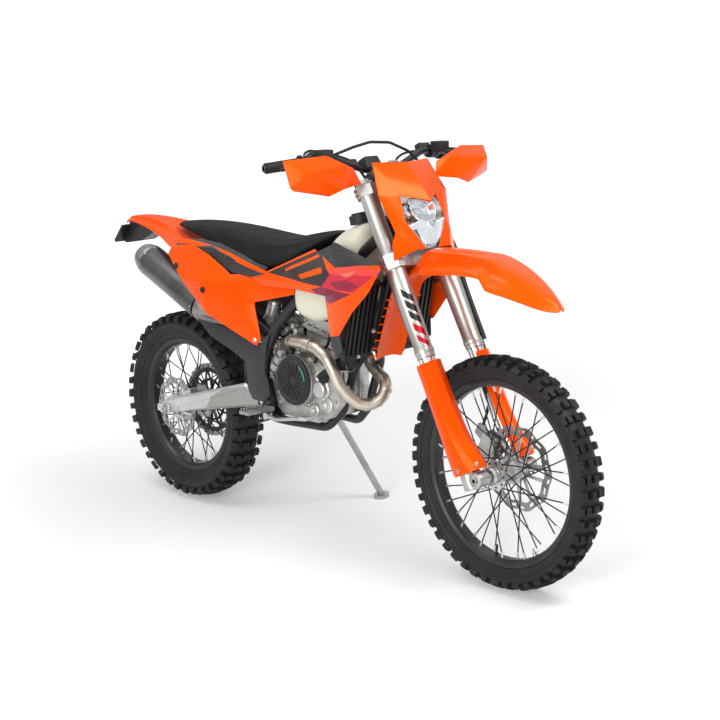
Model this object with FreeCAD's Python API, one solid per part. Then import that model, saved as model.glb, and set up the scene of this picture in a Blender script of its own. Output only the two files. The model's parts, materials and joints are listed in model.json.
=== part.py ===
import FreeCAD, Part
import math
import os

V = FreeCAD.Vector

# Bike frame while modelling: X forward, Y left, Z up, the rear axle above X 0, millimetres.
# The finished bike is leaned onto its side stand and set on the floor at the end.

# Wheels and steering geometry
wheelbase = 1487.0
drawn_wheelbase = 1487.0
rear_tyre_end = 350.0
lean_deg = 9.0
rake_deg = 26.5
clamp_offset = 22.0
axle_lead = 35.0
leg_spacing = 206.0
rear_lug_radius = 335.5
rear_half_width = 64.0
front_lug_radius = 347.5
front_half_width = 46.0
lug_height = 14.0
lug_length = 27.0
lug_slope = 1.5
front_pitches = 24
rear_pitches = 20

# Rims, hubs, axles and discs
front_rim_lip = front_lug_radius - 70.5
rear_rim_lip = rear_lug_radius - 96.5
rim_depth = 22.0
rim_seat = 8.0
front_rim_bore = front_rim_lip - rim_depth
rear_rim_bore = rear_rim_lip - rim_depth
front_rim_half = 25.0
rear_rim_half = 33.0
spoke_count = 36
spoke_width = 3.2
axle_radius = 10.0
axle_bore_radius = 6.0
axle_bore_depth = 40.0
running_gap = 0.3
seat_gap = 0.3
front_disc_radius = 130.0
rear_disc_radius = 110.0
disc_thickness = 4.0
front_disc_y = 62.0
rear_disc_y = 74.0

# Fork
leg_radius = 27.0
leg_swell_radius = 30.0
stanchion_radius = 24.0
fork_top = 940.0
outer_tube_bottom = 446.0
stanchion_insert = 70.0
upper_clamp_low = 893.0
upper_clamp_high = 925.0
lower_clamp_low = 660.0
lower_clamp_high = 705.0
head_tube_low = 712.0
head_tube_high = 885.0
head_tube_radius = 29.0
stem_radius = 15.0

# Chain drive
chain_pitch = 15.875
front_teeth = 13
rear_teeth = 50
chain_y = 78.0
chain_width = 15.0
chain_height = 14.0
sprocket_thickness = 6.0

# Swingarm and frame
beam_inner = 90.0
beam_outer = 117.0
pocket_depth = 5.0
pivot_x = 548.0
pivot_z = 445.0
pivot_radius = 9.0
spar_y = 115.0
spar_radius = 17.0
cradle_radius = 14.0
down_tube_radius = 20.0

# Handlebar
bar_radius = 11.0
bar_bore_radius = 7.0
bar_bore_depth = 40.0
bar_half_length = 405.0
grip_radius = 16.0
grip_length = 118.0

# Side stand
stand_foot_x = 652.0
stand_foot_y = 300.0
stand_tube_radius = 11.0
stand_pad_radius = 26.0
stand_pad_height = 7.0

# Plastic parts
plastic = 4.0

lean = math.radians(lean_deg)
rake = math.radians(rake_deg)
lug_rest = math.tan(lean)


def carcass_outline(half, lip, tip, rim_half):
    """Half outline of a tyre without its lugs, from the bead to the crown, as (y, radius)."""
    root = tip - lug_height
    tall = root - lip
    return [
        (rim_half - 3.0, lip - rim_seat + seat_gap), (rim_half - 3.0, lip + seat_gap),
        (rim_half + 2.0, lip + 2.0),
        (half - 15.0, lip + tall * 0.36), (half - 7.0, lip + tall * 0.56), (half - 8.5, lip + tall * 0.76),
        (half * 0.54, root - 4.0), (0, root),
    ]


def tread_lugs(outline):
    """Lugs of one pitch on the shoulder and crown strips: along from, to, share from, to and height."""
    last = len(outline) - 2
    return {
        last - 1: [(-lug_length - 8, -8, 0.06, 0.96, lug_height - 1.0)],
        last: [(4, 4 + lug_length, 0.10, 0.74, lug_height - 0.2)],
    }


def axle_height(outline):
    """Height of an axle above the floor line of the upright plane when the leaned tyre's lowest lug touches it."""
    depth = 0
    for strip, cell in tread_lugs(outline).items():
        (y0, r0), (y1, r1) = outline[strip], outline[strip + 1]
        width = math.hypot(y1 - y0, r1 - r0)
        for _, _, near, far, height in cell:
            for share in (near + lug_slope / width, far - lug_slope / width):
                y = y0 + (y1 - y0) * share + (r1 - r0) / width * height
                radius = r0 + (r1 - r0) * share - (y1 - y0) / width * height
                depth = max(depth, radius + y * lug_rest)
    return depth


front_outline = carcass_outline(front_half_width, front_rim_lip, front_lug_radius, front_rim_half)
rear_outline = carcass_outline(rear_half_width, rear_rim_lip, rear_lug_radius, rear_rim_half)
front_axle_z = axle_height(front_outline)
rear_axle_z = axle_height(rear_outline)

fork_reach = clamp_offset + axle_lead
steer_x = wheelbase - fork_reach * math.cos(rake)
steer_z = front_axle_z - fork_reach * math.sin(rake)
steer_up = V(-math.sin(rake), 0, math.cos(rake))
steer_forward = V(math.cos(rake), 0, math.sin(rake))
leg_y = leg_spacing / 2
rear_axle = V(0, 0, rear_axle_z)
front_axle = V(wheelbase, 0, front_axle_z)


drawn_steer_x = drawn_wheelbase - fork_reach * math.cos(rake)


def drawn(x):
    """Distance ahead of the rear axle of a point drawn at x, when the wheelbase isn't the drawn one."""
    ahead = max(0.0, x - rear_tyre_end)
    return x + ahead * (steer_x - drawn_steer_x) / (drawn_steer_x - rear_tyre_end)


def at(x, y, z):
    return V(drawn(x), y, z)


def steer(ahead, y, up):
    """A point given ahead of the steering axis, to the left, and up along the axis."""
    return V(steer_x, 0, steer_z) + steer_forward * ahead + V(0, y, 0) + steer_up * up


front_sprocket_centre = at(634, 0, 457)
stand_pivot = at(612, 128, 362)


# Shape helpers

def fused(*shapes):
    first, rest = shapes[0], list(shapes[1:])
    return first.multiFuse(rest).removeSplitter() if rest else first


def mirrored(shape):
    return shape.mirror(V(0, 0, 0), V(0, 1, 0))


def both_sides(shape):
    return Part.makeCompound([shape, mirrored(shape)])


def rod(start, end, radius):
    along = end - start
    return Part.makeCylinder(radius, along.Length, start, along)


def cone(start, end, start_radius, end_radius):
    along = end - start
    return Part.makeCone(start_radius, end_radius, along.Length, start, along)


def block(low, high):
    size = high - low
    return Part.makeBox(size.x, size.y, size.z, low)


def face_of(points):
    return Part.Face(Part.makePolygon(list(points) + [points[0]]))


def prism(outline, y_from, y_to):
    """A side-view outline of (x, z) points, made solid between two values of y."""
    return face_of([at(x, y_from, z) for x, z in outline]).extrude(V(0, y_to - y_from, 0))


def steer_prism(outline, y_from, y_to):
    """The same for an outline of (ahead, up) points of the steering frame."""
    return face_of([steer(a, y_from, b) for a, b in outline]).extrude(V(0, y_to - y_from, 0))


def steer_plate(outline, up_from, up_to):
    """An outline of (ahead, y) points, made solid between two heights on the steering axis."""
    return face_of([steer(a, y, up_from) for a, y in outline]).extrude(steer_up * (up_to - up_from))


def loft(sections):
    """A solid with straight lines between sections that have the same number of corners."""
    wires = [Part.makePolygon(list(points) + [points[0]]) for points in sections]
    return Part.makeLoft(wires, True, True)


def bend_path(points, bend):
    """Straight runs joined by tangent arcs, as one wire, with the radius of each arc."""
    edges, radii = [], []
    last = points[0]
    for before, corner, after in zip(points, points[1:], points[2:]):
        back, on = (before - corner), (after - corner)
        half_turn = (math.pi - back.getAngle(on)) / 2
        room = 0.45 * min(back.Length, on.Length)
        radius = min(bend, room / math.tan(half_turn))
        reach = radius * math.tan(half_turn)
        back.normalize()
        on.normalize()
        start, end = corner + back * reach, corner + on * reach
        middle = back + on
        middle.normalize()
        centre = corner + middle * (radius / math.cos(half_turn))
        inward = corner - centre
        inward.normalize()
        edges.append(Part.LineSegment(last, start).toShape())
        edges.append(Part.Arc(start, centre + inward * radius, end).toShape())
        last = end
        radii.append(radius)
    edges.append(Part.LineSegment(last, points[-1]).toShape())
    return Part.Wire(edges), radii


def pipe(points, radius, bend=60.0, bore=0.0):
    """A round tube along straight runs and tangent arcs."""
    path, _ = bend_path(points, bend)

    def sweep(r):
        ring = Part.Wire(Part.makeCircle(r, points[0], points[1] - points[0]))
        return path.makePipeShell([ring], True, False)

    return sweep(radius).cut(sweep(bore)) if bore else sweep(radius)


def wheel_ring(profile, centre):
    """A ring turned about a wheel axle from (y, radius) corners."""
    corners = [V(centre.x, y, centre.z + radius) for y, radius in profile]
    return face_of(corners).revolve(centre, V(0, 1, 0), 360)


def closed_solid(faces):
    """A solid from flat faces that close it."""
    shell = Part.makeShell(faces)
    shell.sewShape()
    solid = Part.Solid(shell)
    if solid.Volume < 0:
        solid.reverse()
    return solid


def skin(outer, inner, faces):
    """A closed solid of flat facets between two sets of points that share the same faces."""
    triangles = [(f[0], f[k], f[k + 1]) for f in faces for k in range(1, len(f) - 1)]
    seen = {}
    for a, b, c in triangles:
        for edge in ((a, b), (b, c), (c, a)):
            seen.setdefault(tuple(sorted(edge)), []).append(edge)
    made = [face_of([outer[i] for i in t]) for t in triangles]
    made += [face_of([inner[i] for i in t]) for t in triangles]
    for uses in seen.values():
        if len(uses) == 1:
            a, b = uses[0]
            made.append(face_of([outer[a], outer[b], inner[b]]))
            made.append(face_of([outer[a], inner[b], inner[a]]))
    return closed_solid(made).removeSplitter()


def facet_plate(points, faces, offset):
    outer = [at(*p) for p in points]
    return skin(outer, [p + offset for p in outer], faces)


def row_faces(rows, columns):
    return [
        (r * columns + c, r * columns + c + 1, (r + 1) * columns + c + 1, (r + 1) * columns + c)
        for r in range(rows - 1)
        for c in range(columns - 1)
    ]


def row_plate(outer_rows, inner_rows):
    """A shell between two grids of points, given row by row."""
    outer = [p for row in outer_rows for p in row]
    inner = [p for row in inner_rows for p in row]
    return skin(outer, inner, row_faces(len(outer_rows), len(outer_rows[0])))


# Wheels

def tyre(outline, centre, pitches):
    """A faceted carcass, one flat facet to a pitch, with tapered lugs raised from its strips."""
    ring = outline + [(-y, r) for y, r in reversed(outline[:-1])]
    count, last = len(ring), len(outline) - 1
    lugs = tread_lugs(outline)
    spread = math.tan(math.pi / pitches)
    faces = []
    for pitch in range(pitches):
        turn = 2 * math.pi * pitch / pitches - math.pi / 2
        radial, tangent = V(math.cos(turn), 0, math.sin(turn)), V(-math.sin(turn), 0, math.cos(turn))

        def point(y, r, along):
            return centre + V(0, y, 0) + radial * r + tangent * along

        for i in range(count):
            (y0, r0), (y1, r1) = ring[i], ring[(i + 1) % count]
            across = V(0, y1 - y0, 0) + radial * (r1 - r0)
            normal = tangent.cross(across)
            normal.normalize()
            if i < count - 1 and normal.dot(radial) < 0:
                normal = normal * -1
            cell = lugs.get(i if i < last else count - 2 - i, [])
            outer = [point(y0, r0, -r0 * spread), point(y1, r1, -r1 * spread), point(y1, r1, r1 * spread),
                     point(y0, r0, r0 * spread)]
            wires = [Part.makePolygon(outer + outer[:1])]
            for start, end, near, far, height in cell if i < count - 1 else []:
                near, far = (near, far) if i < last else (1 - far, 1 - near)
                slim = lug_slope / across.Length

                def spot(share, along):
                    return point(y0 + (y1 - y0) * share, r0 + (r1 - r0) * share, along)

                foot = [spot(near, start), spot(far, start), spot(far, end), spot(near, end)]
                top = [spot(near + slim, start + lug_slope), spot(far - slim, start + lug_slope),
                       spot(far - slim, end - lug_slope), spot(near + slim, end - lug_slope)]
                top = [p + normal * height for p in top]
                faces.append(face_of(top))
                faces += [face_of([foot[c], foot[(c + 1) % 4], top[(c + 1) % 4], top[c]]) for c in range(4)]
                wires.append(Part.makePolygon(foot + foot[:1]))
            faces.append(Part.makeFace(wires, "Part::FaceMakerBullseye"))
    return closed_solid(faces)


def rim(centre, bore, lip, half):
    well = half - 13.0
    profile = [
        (-half, lip), (-half, lip - 9.0), (-half + 3.5, lip - 15.0), (-well, bore),
        (well, bore), (half - 3.5, lip - 15.0), (half, lip - 9.0), (half, lip),
        (half - 3.0, lip), (half - 3.0, lip - rim_seat), (-half + 3.0, lip - rim_seat), (-half + 3.0, lip),
    ]
    return wheel_ring(profile, centre)


def spokes(centre, flange_radius, flange_y, rim_radius, rim_y):
    """Square spokes in crossing pairs, from both flanges of the hub to the rim."""
    made = []
    for k in range(spoke_count):
        side = 1 if k % 2 == 0 else -1
        lean_way = 1 if (k // 2) % 2 == 0 else -1
        at_rim = 2 * math.pi * k / spoke_count
        at_hub = at_rim + lean_way * math.radians(68)
        inner = centre + V(flange_radius * math.cos(at_hub), side * flange_y,
                           flange_radius * math.sin(at_hub))
        outer = centre + V(rim_radius * math.cos(at_rim), side * rim_y, rim_radius * math.sin(at_rim))
        along = outer - inner
        across = along.cross(V(0, 1, 0))
        across.normalize()
        up = V(0, 1, 0)
        h = spoke_width / 2
        corners = [inner + across * h, inner + up * h, inner - across * h, inner - up * h]
        made.append(face_of(corners).extrude(along))
    return made


def hub(centre, barrel, ends, flange_radius, flange_y, mount_radius, mount_faces, rim_bore):
    """A spool with two spoke flanges, one disc or sprocket seat at each end and its spokes."""
    left, right = ends
    body = rod(centre + V(0, -right, 0), centre + V(0, left, 0), barrel)
    flanges = [
        rod(centre + V(0, s * (flange_y - 4), 0), centre + V(0, s * (flange_y + 4), 0), flange_radius + 5)
        for s in (-1, 1)
    ]
    seats = [
        rod(centre + V(0, flange_y * (1 if y > 0 else -1), 0), centre + V(0, y, 0), mount_radius)
        for y in mount_faces
    ]
    wires = spokes(centre, flange_radius, flange_y, rim_bore - seat_gap, 8.0)
    solid = fused(body, *flanges, *seats, *wires)
    return solid.cut(rod(centre + V(0, -right - 1, 0), centre + V(0, left + 1, 0), axle_radius + running_gap))


def wave_disc(centre, y, radius, inner_radius, scallops):
    """A brake disc with a waved rim, windows and a bored centre."""
    plate = rod(centre + V(0, y - disc_thickness / 2, 0), centre + V(0, y + disc_thickness / 2, 0), radius)
    bites = []
    for k in range(scallops):
        angle = 2 * math.pi * k / scallops
        spot = centre + V(math.cos(angle), 0, math.sin(angle)) * (radius + 9.0)
        bites.append(rod(spot + V(0, y - 5, 0), spot + V(0, y + 5, 0), 14.0))
        window = centre + V(math.cos(angle), 0, math.sin(angle)) * (radius * 0.6)
        bites.append(rod(window + V(0, y - 5, 0), window + V(0, y + 5, 0), radius * 0.12))
    bore = rod(centre + V(0, y - 5, 0), centre + V(0, y + 5, 0), inner_radius)
    return plate.cut(Part.makeCompound([bore] + bites))


def pitch_radius(teeth):
    return chain_pitch / (2 * math.sin(math.pi / teeth))


def sprocket(centre, teeth, tip_radius, bore_radius, windows):
    """A toothed plate in the chain's plane."""
    root = tip_radius - 6.0
    corners = []
    for k in range(teeth):
        middle = 2 * math.pi * k / teeth
        step = 2 * math.pi / teeth
        for share, radius in ((-0.32, root), (-0.12, tip_radius), (0.12, tip_radius), (0.32, root)):
            angle = middle + share * step
            corners.append(centre + V(radius * math.cos(angle), chain_y - sprocket_thickness / 2,
                                      radius * math.sin(angle)))
    plate = face_of(corners).extrude(V(0, sprocket_thickness, 0))
    cuts = [rod(centre + V(0, chain_y - 9, 0), centre + V(0, chain_y + 9, 0), bore_radius)]
    for k in range(windows):
        angle = 2 * math.pi * k / windows
        spot = centre + V(math.cos(angle), 0, math.sin(angle)) * (root * 0.72)
        cuts.append(rod(spot + V(0, chain_y - 9, 0), spot + V(0, chain_y + 9, 0), root * 0.15))
    return plate.cut(Part.makeCompound(cuts))


def chain_corners(shift):
    """Where the chain's straight runs meet the sprockets, at a distance from the pitch line."""
    big = pitch_radius(rear_teeth) + shift
    small = pitch_radius(front_teeth) + shift
    line = front_sprocket_centre - rear_axle
    slope = math.atan2(line.z, line.x)
    open_angle = math.acos((big - small) / math.hypot(line.x, line.z))

    def touch(centre, radius, angle):
        return V(centre.x + radius * math.cos(angle), 0, centre.z + radius * math.sin(angle))

    return {
        "top_big": touch(rear_axle, big, slope + open_angle),
        "low_big": touch(rear_axle, big, slope - open_angle),
        "back": touch(rear_axle, big, slope + math.pi), "front": touch(front_sprocket_centre, small, slope),
        "top_small": touch(front_sprocket_centre, small, slope + open_angle),
        "low_small": touch(front_sprocket_centre, small, slope - open_angle),
    }


def chain_band(shift):
    """Outline of the chain's loop round both sprockets."""
    corner = chain_corners(shift)
    edges = [
        Part.Arc(corner["top_big"], corner["back"], corner["low_big"]).toShape(),
        Part.LineSegment(corner["low_big"], corner["low_small"]).toShape(),
        Part.Arc(corner["low_small"], corner["front"], corner["top_small"]).toShape(),
        Part.LineSegment(corner["top_small"], corner["top_big"]).toShape(),
    ]
    return Part.Face(Part.Wire(edges))


def low_run(x):
    """Height of the chain's lower run above a point along the bike."""
    start, end = chain_corners(0)["low_big"], chain_corners(0)["low_small"]
    return start.z + (x - start.x) / (end.x - start.x) * (end.z - start.z)


def chain_room(margin):
    """The room that the chain's loop takes, with a margin all round."""
    width = chain_width + 2 * margin
    outer, inner = chain_band(chain_height / 2 + margin), chain_band(-chain_height / 2 - margin)
    for outline in (outer, inner):
        outline.translate(V(0, chain_y - width / 2, 0))
    return outer.extrude(V(0, width, 0)).cut(inner.extrude(V(0, width, 0)))


def chain():
    """A closed loop of links, wide outer ones and narrow inner ones in turn."""
    loop = chain_band(0).OuterWire
    count = 2 * round(loop.Length / chain_pitch / 2)
    pins = loop.discretize(Number=count + 1)[:-1]
    sections = []
    for before, pin, after in zip(pins[-1:] + pins[:-1], pins, pins[1:] + pins[:1]):
        along = after - before
        along.normalize()
        out = V(along.z, 0, -along.x)
        pair = []
        for half_height, half_width in ((chain_height / 2, chain_width / 2),
                                        (chain_height * 0.36, chain_width * 0.3)):
            pair.append([pin + out * (u * half_height) + V(0, chain_y + w * half_width, 0)
                         for u, w in ((-1, -1), (1, -1), (1, 1), (-1, 1))])
        sections.append(pair)
    faces = []
    for k in range(count):
        size = k % 2
        start, end = sections[k][size], sections[(k + 1) % count][size]
        faces += [face_of([start[c], start[(c + 1) % 4], end[(c + 1) % 4], end[c]]) for c in range(4)]
        wires = [Part.makePolygon(ring + ring[:1]) for ring in sections[k]]
        faces.append(Part.makeFace(wires, "Part::FaceMakerBullseye"))
    return closed_solid(faces)


def axle(centre, half_length, spacer_from, spacer_to, spacer_radius):
    """A hollow-ended axle with a spacer at each side of the hub and a nut at each end."""
    pieces = [rod(centre + V(0, -half_length, 0), centre + V(0, half_length, 0), axle_radius)]
    for s in (-1, 1):
        pieces.append(rod(centre + V(0, s * spacer_from, 0), centre + V(0, s * spacer_to, 0), spacer_radius))
    solid = fused(*pieces)
    bore = rod(centre + V(0, -half_length, 0), centre + V(0, axle_bore_depth - half_length, 0),
               axle_bore_radius)
    return solid.cut(bore)


# Fork and steering

def fork_outer_tubes():
    profile = [
        (0, fork_top), (leg_radius, fork_top), (leg_radius, lower_clamp_high + 15),
        (leg_swell_radius, lower_clamp_high),
        (leg_swell_radius, lower_clamp_low - 10), (leg_swell_radius, 560),
        (leg_radius, outer_tube_bottom + 12),
        (leg_radius, outer_tube_bottom), (stanchion_radius + seat_gap, outer_tube_bottom),
        (stanchion_radius + seat_gap, outer_tube_bottom + stanchion_insert),
        (0, outer_tube_bottom + stanchion_insert),
    ]
    corners = [steer(clamp_offset + r, leg_y, b) for r, b in profile]
    left = face_of(corners).revolve(steer(clamp_offset, leg_y, 0), steer_up, 360)
    return both_sides(left)


lug_half = 20.0
lug_y = leg_y
lug_boss_radius = 24.0


def fork_inner_tubes():
    """Chromed stanchions with the cast axle lugs at their feet."""
    tube = rod(steer(clamp_offset, leg_y, -18), steer(clamp_offset, leg_y,
                                                      outer_tube_bottom + stanchion_insert - 2),
               stanchion_radius)
    boss = rod(front_axle + V(0, lug_y - lug_half, 0), front_axle + V(0, lug_y + lug_half, 0),
               lug_boss_radius)
    web = steer_prism([(clamp_offset - 20, -18), (fork_reach, -lug_boss_radius),
                       (fork_reach, lug_boss_radius),
                       (clamp_offset + 18, 60), (clamp_offset - 18, 60)], lug_y - 17, lug_y + 17)
    pad = steer_prism([(clamp_offset - 13, 56), (clamp_offset + 13, 56), (clamp_offset + 13, 84),
                       (clamp_offset - 13, 84)],
                      lug_y, lug_y + guard_profile[-1][2] - plastic + 0.8)
    left = fused(tube, boss, web, pad)
    left = left.cut(rod(front_axle + V(0, 40, 0), front_axle + V(0, 160, 0), axle_radius))
    return both_sides(left).cut(fork_guards())


def clamp_outline(leg_grip, waist, nose):
    """Top view of a triple clamp, as (ahead, y) corners."""
    right = [
        (clamp_offset + leg_grip, leg_y - 8), (clamp_offset + leg_grip, leg_y + 14),
        (clamp_offset + 10, leg_y + leg_grip), (clamp_offset - 14, leg_y + leg_grip),
        (clamp_offset - leg_grip, leg_y + 10), (clamp_offset - leg_grip, leg_y - 16),
        (-waist, 26), (-waist, 0), (-waist, -26),
    ]
    left = [
        (clamp_offset - leg_grip, -leg_y + 16), (clamp_offset - leg_grip, -leg_y - 10),
        (clamp_offset - 14, -leg_y - leg_grip), (clamp_offset + 10, -leg_y - leg_grip),
        (clamp_offset + leg_grip, -leg_y - 14), (clamp_offset + leg_grip, -leg_y + 8),
        (nose, -46), (nose, 46),
    ]
    return right + left


bar_clamp_up = 985.0
bar_clamp_ahead = 10.0


def triple_clamps():
    """Upper and lower clamps on their stem, with the handlebar's towers."""
    upper = steer_plate(clamp_outline(leg_radius + 10, 34, 40), upper_clamp_low, upper_clamp_high)
    lower = steer_plate(clamp_outline(leg_swell_radius + 9, 36, 48), lower_clamp_low, lower_clamp_high)
    stem = rod(steer(0, 0, lower_clamp_low), steer(0, 0, upper_clamp_high + 10), stem_radius)
    towers = [
        steer_prism([(bar_clamp_ahead - 17, upper_clamp_high - 2),
                     (bar_clamp_ahead + 17, upper_clamp_high - 2),
                     (bar_clamp_ahead + 17, bar_clamp_up + 17), (bar_clamp_ahead - 17, bar_clamp_up + 17)],
                    s * 40 - 14, s * 40 + 14)
        for s in (-1, 1)
    ]
    legs = []
    for s in (-1, 1):
        legs.append(rod(steer(clamp_offset, s * leg_y, 870), steer(clamp_offset, s * leg_y, 960), leg_radius))
        legs.append(rod(steer(clamp_offset, s * leg_y, 640), steer(clamp_offset, s * leg_y, 705.01),
                        leg_swell_radius))
    bar = rod(steer(bar_clamp_ahead, -70, bar_clamp_up), steer(bar_clamp_ahead, 70, bar_clamp_up), bar_radius)
    return fused(upper, lower, stem, *towers).cut(Part.makeCompound(legs + [bar]))


bar_end = steer(-39, bar_half_length, 1034)
bar_bend = steer(11, 190, 1030)


def bar_points():
    centre = steer(bar_clamp_ahead, 0, bar_clamp_up)
    flat = V(centre.x, 70, centre.z)
    side = [flat, bar_bend, bar_end]
    return [V(p.x, -p.y, p.z) for p in reversed(side)] + side


def bar_direction():
    along = bar_end - bar_bend
    along.normalize()
    return along


def handlebar():
    solid = pipe(bar_points(), bar_radius, 70)
    along = bar_direction()
    bores = [rod(bar_end - along * bar_bore_depth, bar_end + along, bar_bore_radius)]
    return solid.cut(Part.makeCompound(bores + [mirrored(bores[0])]))


def grips():
    along = bar_direction()
    inner = bar_end - along * (grip_length + 6)
    left = fused(rod(inner, bar_end - along * 6, grip_radius), rod(inner, inner + along * 6, grip_radius + 7))
    return both_sides(left.cut(rod(inner - along, bar_end, bar_radius)))


def along_bar(distance, ahead=0.0, up=0.0):
    """A point on the left grip's axis, a distance in from its end, moved ahead and up."""
    return bar_end - bar_direction() * distance + V(ahead, 0, up)


def hand_controls():
    """Master cylinder with its reservoir, lever and switch block on each side."""
    perch = rod(along_bar(156), along_bar(138), bar_radius + 8)
    cylinder = rod(along_bar(176, 34, 4), along_bar(128, 30, 4), 11)
    neck = rod(along_bar(148), along_bar(148, 34, 4), 9)
    cup = block(along_bar(176, 20, 6) + V(0, -14, 0), along_bar(176, 58, 32) + V(0, 30, 0))
    lever = pipe([along_bar(134, 36, 2), along_bar(105, 62, 0), along_bar(10, 66, -2)], 6, 30)
    switch = rod(along_bar(180), along_bar(162), bar_radius + 9)
    solid = fused(perch, cylinder, neck, cup, lever)
    bar = rod(along_bar(200), along_bar(100), bar_radius)
    return Part.makeCompound([both_sides(solid.cut(bar)), both_sides(switch.cut(bar))])


guard_rows = [
    # y, then ahead and up of the top, crease and bottom of the shield
    (175, (84, 972), (88, 950), (78, 926)),
    (230, (95, 990), (104, 955), (56, 915)),
    (300, (100, 1003), (112, 965), (46, 900)),
    (400, (80, 1006), (92, 972), (38, 922)),
    (437, (60, 1000), (60, 972), (50, 945)),
]


def handguards():
    outer = [[steer(a, y, b) for a, b in points] for y, *points in guard_rows]
    inner = [[p - steer_forward * plastic for p in row] for row in outer]
    shield = row_plate(outer, inner)
    arm_foot = along_bar(197)
    arm = rod(arm_foot, steer(92, 222, 958), 7)
    ring = rod(arm_foot - bar_direction() * 9, arm_foot + bar_direction() * 9, bar_radius + 7)
    bar = rod(arm_foot - bar_direction() * 60, arm_foot + bar_direction() * 60, bar_radius)
    return both_sides(fused(ring, arm, shield).cut(bar))


guard_profile = [
    # up, how far the shield stands ahead of the leg, and the radius round the leg
    (368, 0, 38), (250, 0, 38), (130, 2, 40), (70, 26, 42), (28, 34, 40),
]


def fork_guards():
    """Shields that wrap the front and outer side of each stanchion and its lug."""
    angles = [-40, -18, 6, 30, 55, 80, 105, 130]

    def row(up, lead, radius):
        points = []
        for angle in angles:
            turn = math.radians(angle)
            ahead = clamp_offset + radius * math.cos(turn) + lead * max(0.0, math.cos(turn))
            points.append(steer(ahead, leg_y + radius * math.sin(turn), up))
        return points

    outer = [row(up, lead, radius) for up, lead, radius in guard_profile]
    inner = [row(up, lead, radius - plastic) for up, lead, radius in guard_profile]
    return both_sides(row_plate(outer, inner))


fender_rows = [
    # ahead and up of the ridge, shoulder (y, drop), edge (y, drop), and the sheet's way through (ahead, up)
    ((-238, 470), (30, 2), (57, 10), (3, -3)),
    ((-150, 553), (32, 2), (59, 10), (3, -3)),
    ((-62, 638), (34, 2), (60, 10), (2, -4)),
    ((-36, lower_clamp_low - seat_gap), (36, 3), (64, 20), (0, -4)),
    ((66, lower_clamp_low - seat_gap), (36, 3), (66, 28), (0, -4)),
    ((84, 694), (36, 12), (78, 78), (0, -4)),
    ((149, 669), (42, 14), (82, 84), (0, -4)),
    ((270, 606), (48, 14), (90, 76), (0, -4)),
    ((340, 562), (52, 12), (102, 66), (0, -4)),
    ((390, 500), (54, 9), (110, 60), (0, -4)),
    ((430, 443), (54, 6), (107, 32), (0, -4)),
    ((470, 372), (46, 2), (92, 12), (0, -4)),
    ((486, 338), (34, 0), (66, 2), (0, -4)),
]


def front_fender():
    outer, inner = [], []
    for (ahead, up), (shoulder, dip), (edge, drop), (through_a, through_b) in fender_rows:
        half = [(0, up), (shoulder, up - dip), (edge, up - drop)]
        row = [steer(ahead, -y, b) for y, b in reversed(half[1:])] + [steer(ahead, y, b) for y, b in half]
        shift = steer_forward * through_a + steer_up * through_b
        outer.append(row)
        inner.append([p + shift for p in row])
    return row_plate(outer, inner)


mask_half = [
    # ahead, y and up of the left half, the ridge first
    (120, 0, 956), (94, 115, 973), (74, 120, 867), (94, 122, 752), (74, 135, 723), (58, 130, 678),
    (104, 70, 688),
    (98, 26, 689), (109, 80, 772), (115, 74, 854), (157, 0, 814),
]
lamp_opening = mask_half[7:]
mask_faces = [(0, 1, 9, 10), (1, 2, 9), (2, 3, 8, 9), (3, 6, 7, 8), (3, 4, 6), (4, 5, 6)]


def headlight_mask():
    """Mask of flat facets round the lamp's opening, with a stay to each fork leg."""
    outer = [steer(*p) for p in mask_half]
    left = skin(outer, [p - V(plastic, 0, 0) for p in outer], mask_faces)
    stays = [rod(steer(clamp_offset + leg_radius + seat_gap, s * leg_y, 809), steer(96, s * 99, 812), 4)
             for s in (-1, 1)]
    return fused(left, mirrored(left), *stays)


def headlamp():
    """The lamp's body behind the opening in the mask."""
    front = [steer(*p) - V(plastic + 1, 0, 0) for p in lamp_opening]
    front += [V(p.x, -p.y, p.z) for p in reversed(front[:-1])]
    middle = steer(114, 0, 770)
    back = [V(p.x - 62, p.y * 0.8, middle.z + (p.z - middle.z) * 0.8) for p in front]
    count = len(front)
    lens = V(front[0].x + 2, 0, middle.z)
    behind = V(back[0].x, 0, middle.z)
    faces = []
    for i in range(count):
        j = (i + 1) % count
        faces += [face_of([front[i], front[j], lens]), face_of([back[i], back[j], behind]),
                  face_of([front[i], front[j], back[j]]), face_of([front[i], back[j], back[i]])]
    return closed_solid(faces)


def caliper(centre, disc_y, disc_radius, toward, width, wall):
    """A two-piston brake caliper that straddles a disc, clear of it on every side."""
    side = 1 if disc_y > 0 else -1
    out = V(toward[0], 0, toward[1])
    out.normalize()
    across = V(-out.z, 0, out.x)
    slot = disc_thickness / 2 + 5.0

    def slab(near, far, half, y_from, y_to):
        corners = [centre + out * r + across * w for r, w in
                   ((near, -half), (far, -half * 0.86), (far, half * 0.86), (near, half))]
        corners = [V(p.x, side * y_from, p.z) for p in corners]
        return face_of(corners).extrude(V(0, side * (y_to - y_from), 0))

    level = abs(disc_y)
    inner = slab(disc_radius - 38, disc_radius + 16, width / 2, level - slot - wall, level - slot)
    outer = slab(disc_radius - 38, disc_radius + 16, width / 2, level + slot, level + slot + wall)
    bridge = slab(disc_radius + 6, disc_radius + 16, width / 2, level - slot - wall, level + slot + wall)
    return fused(inner, outer, bridge)


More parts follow.
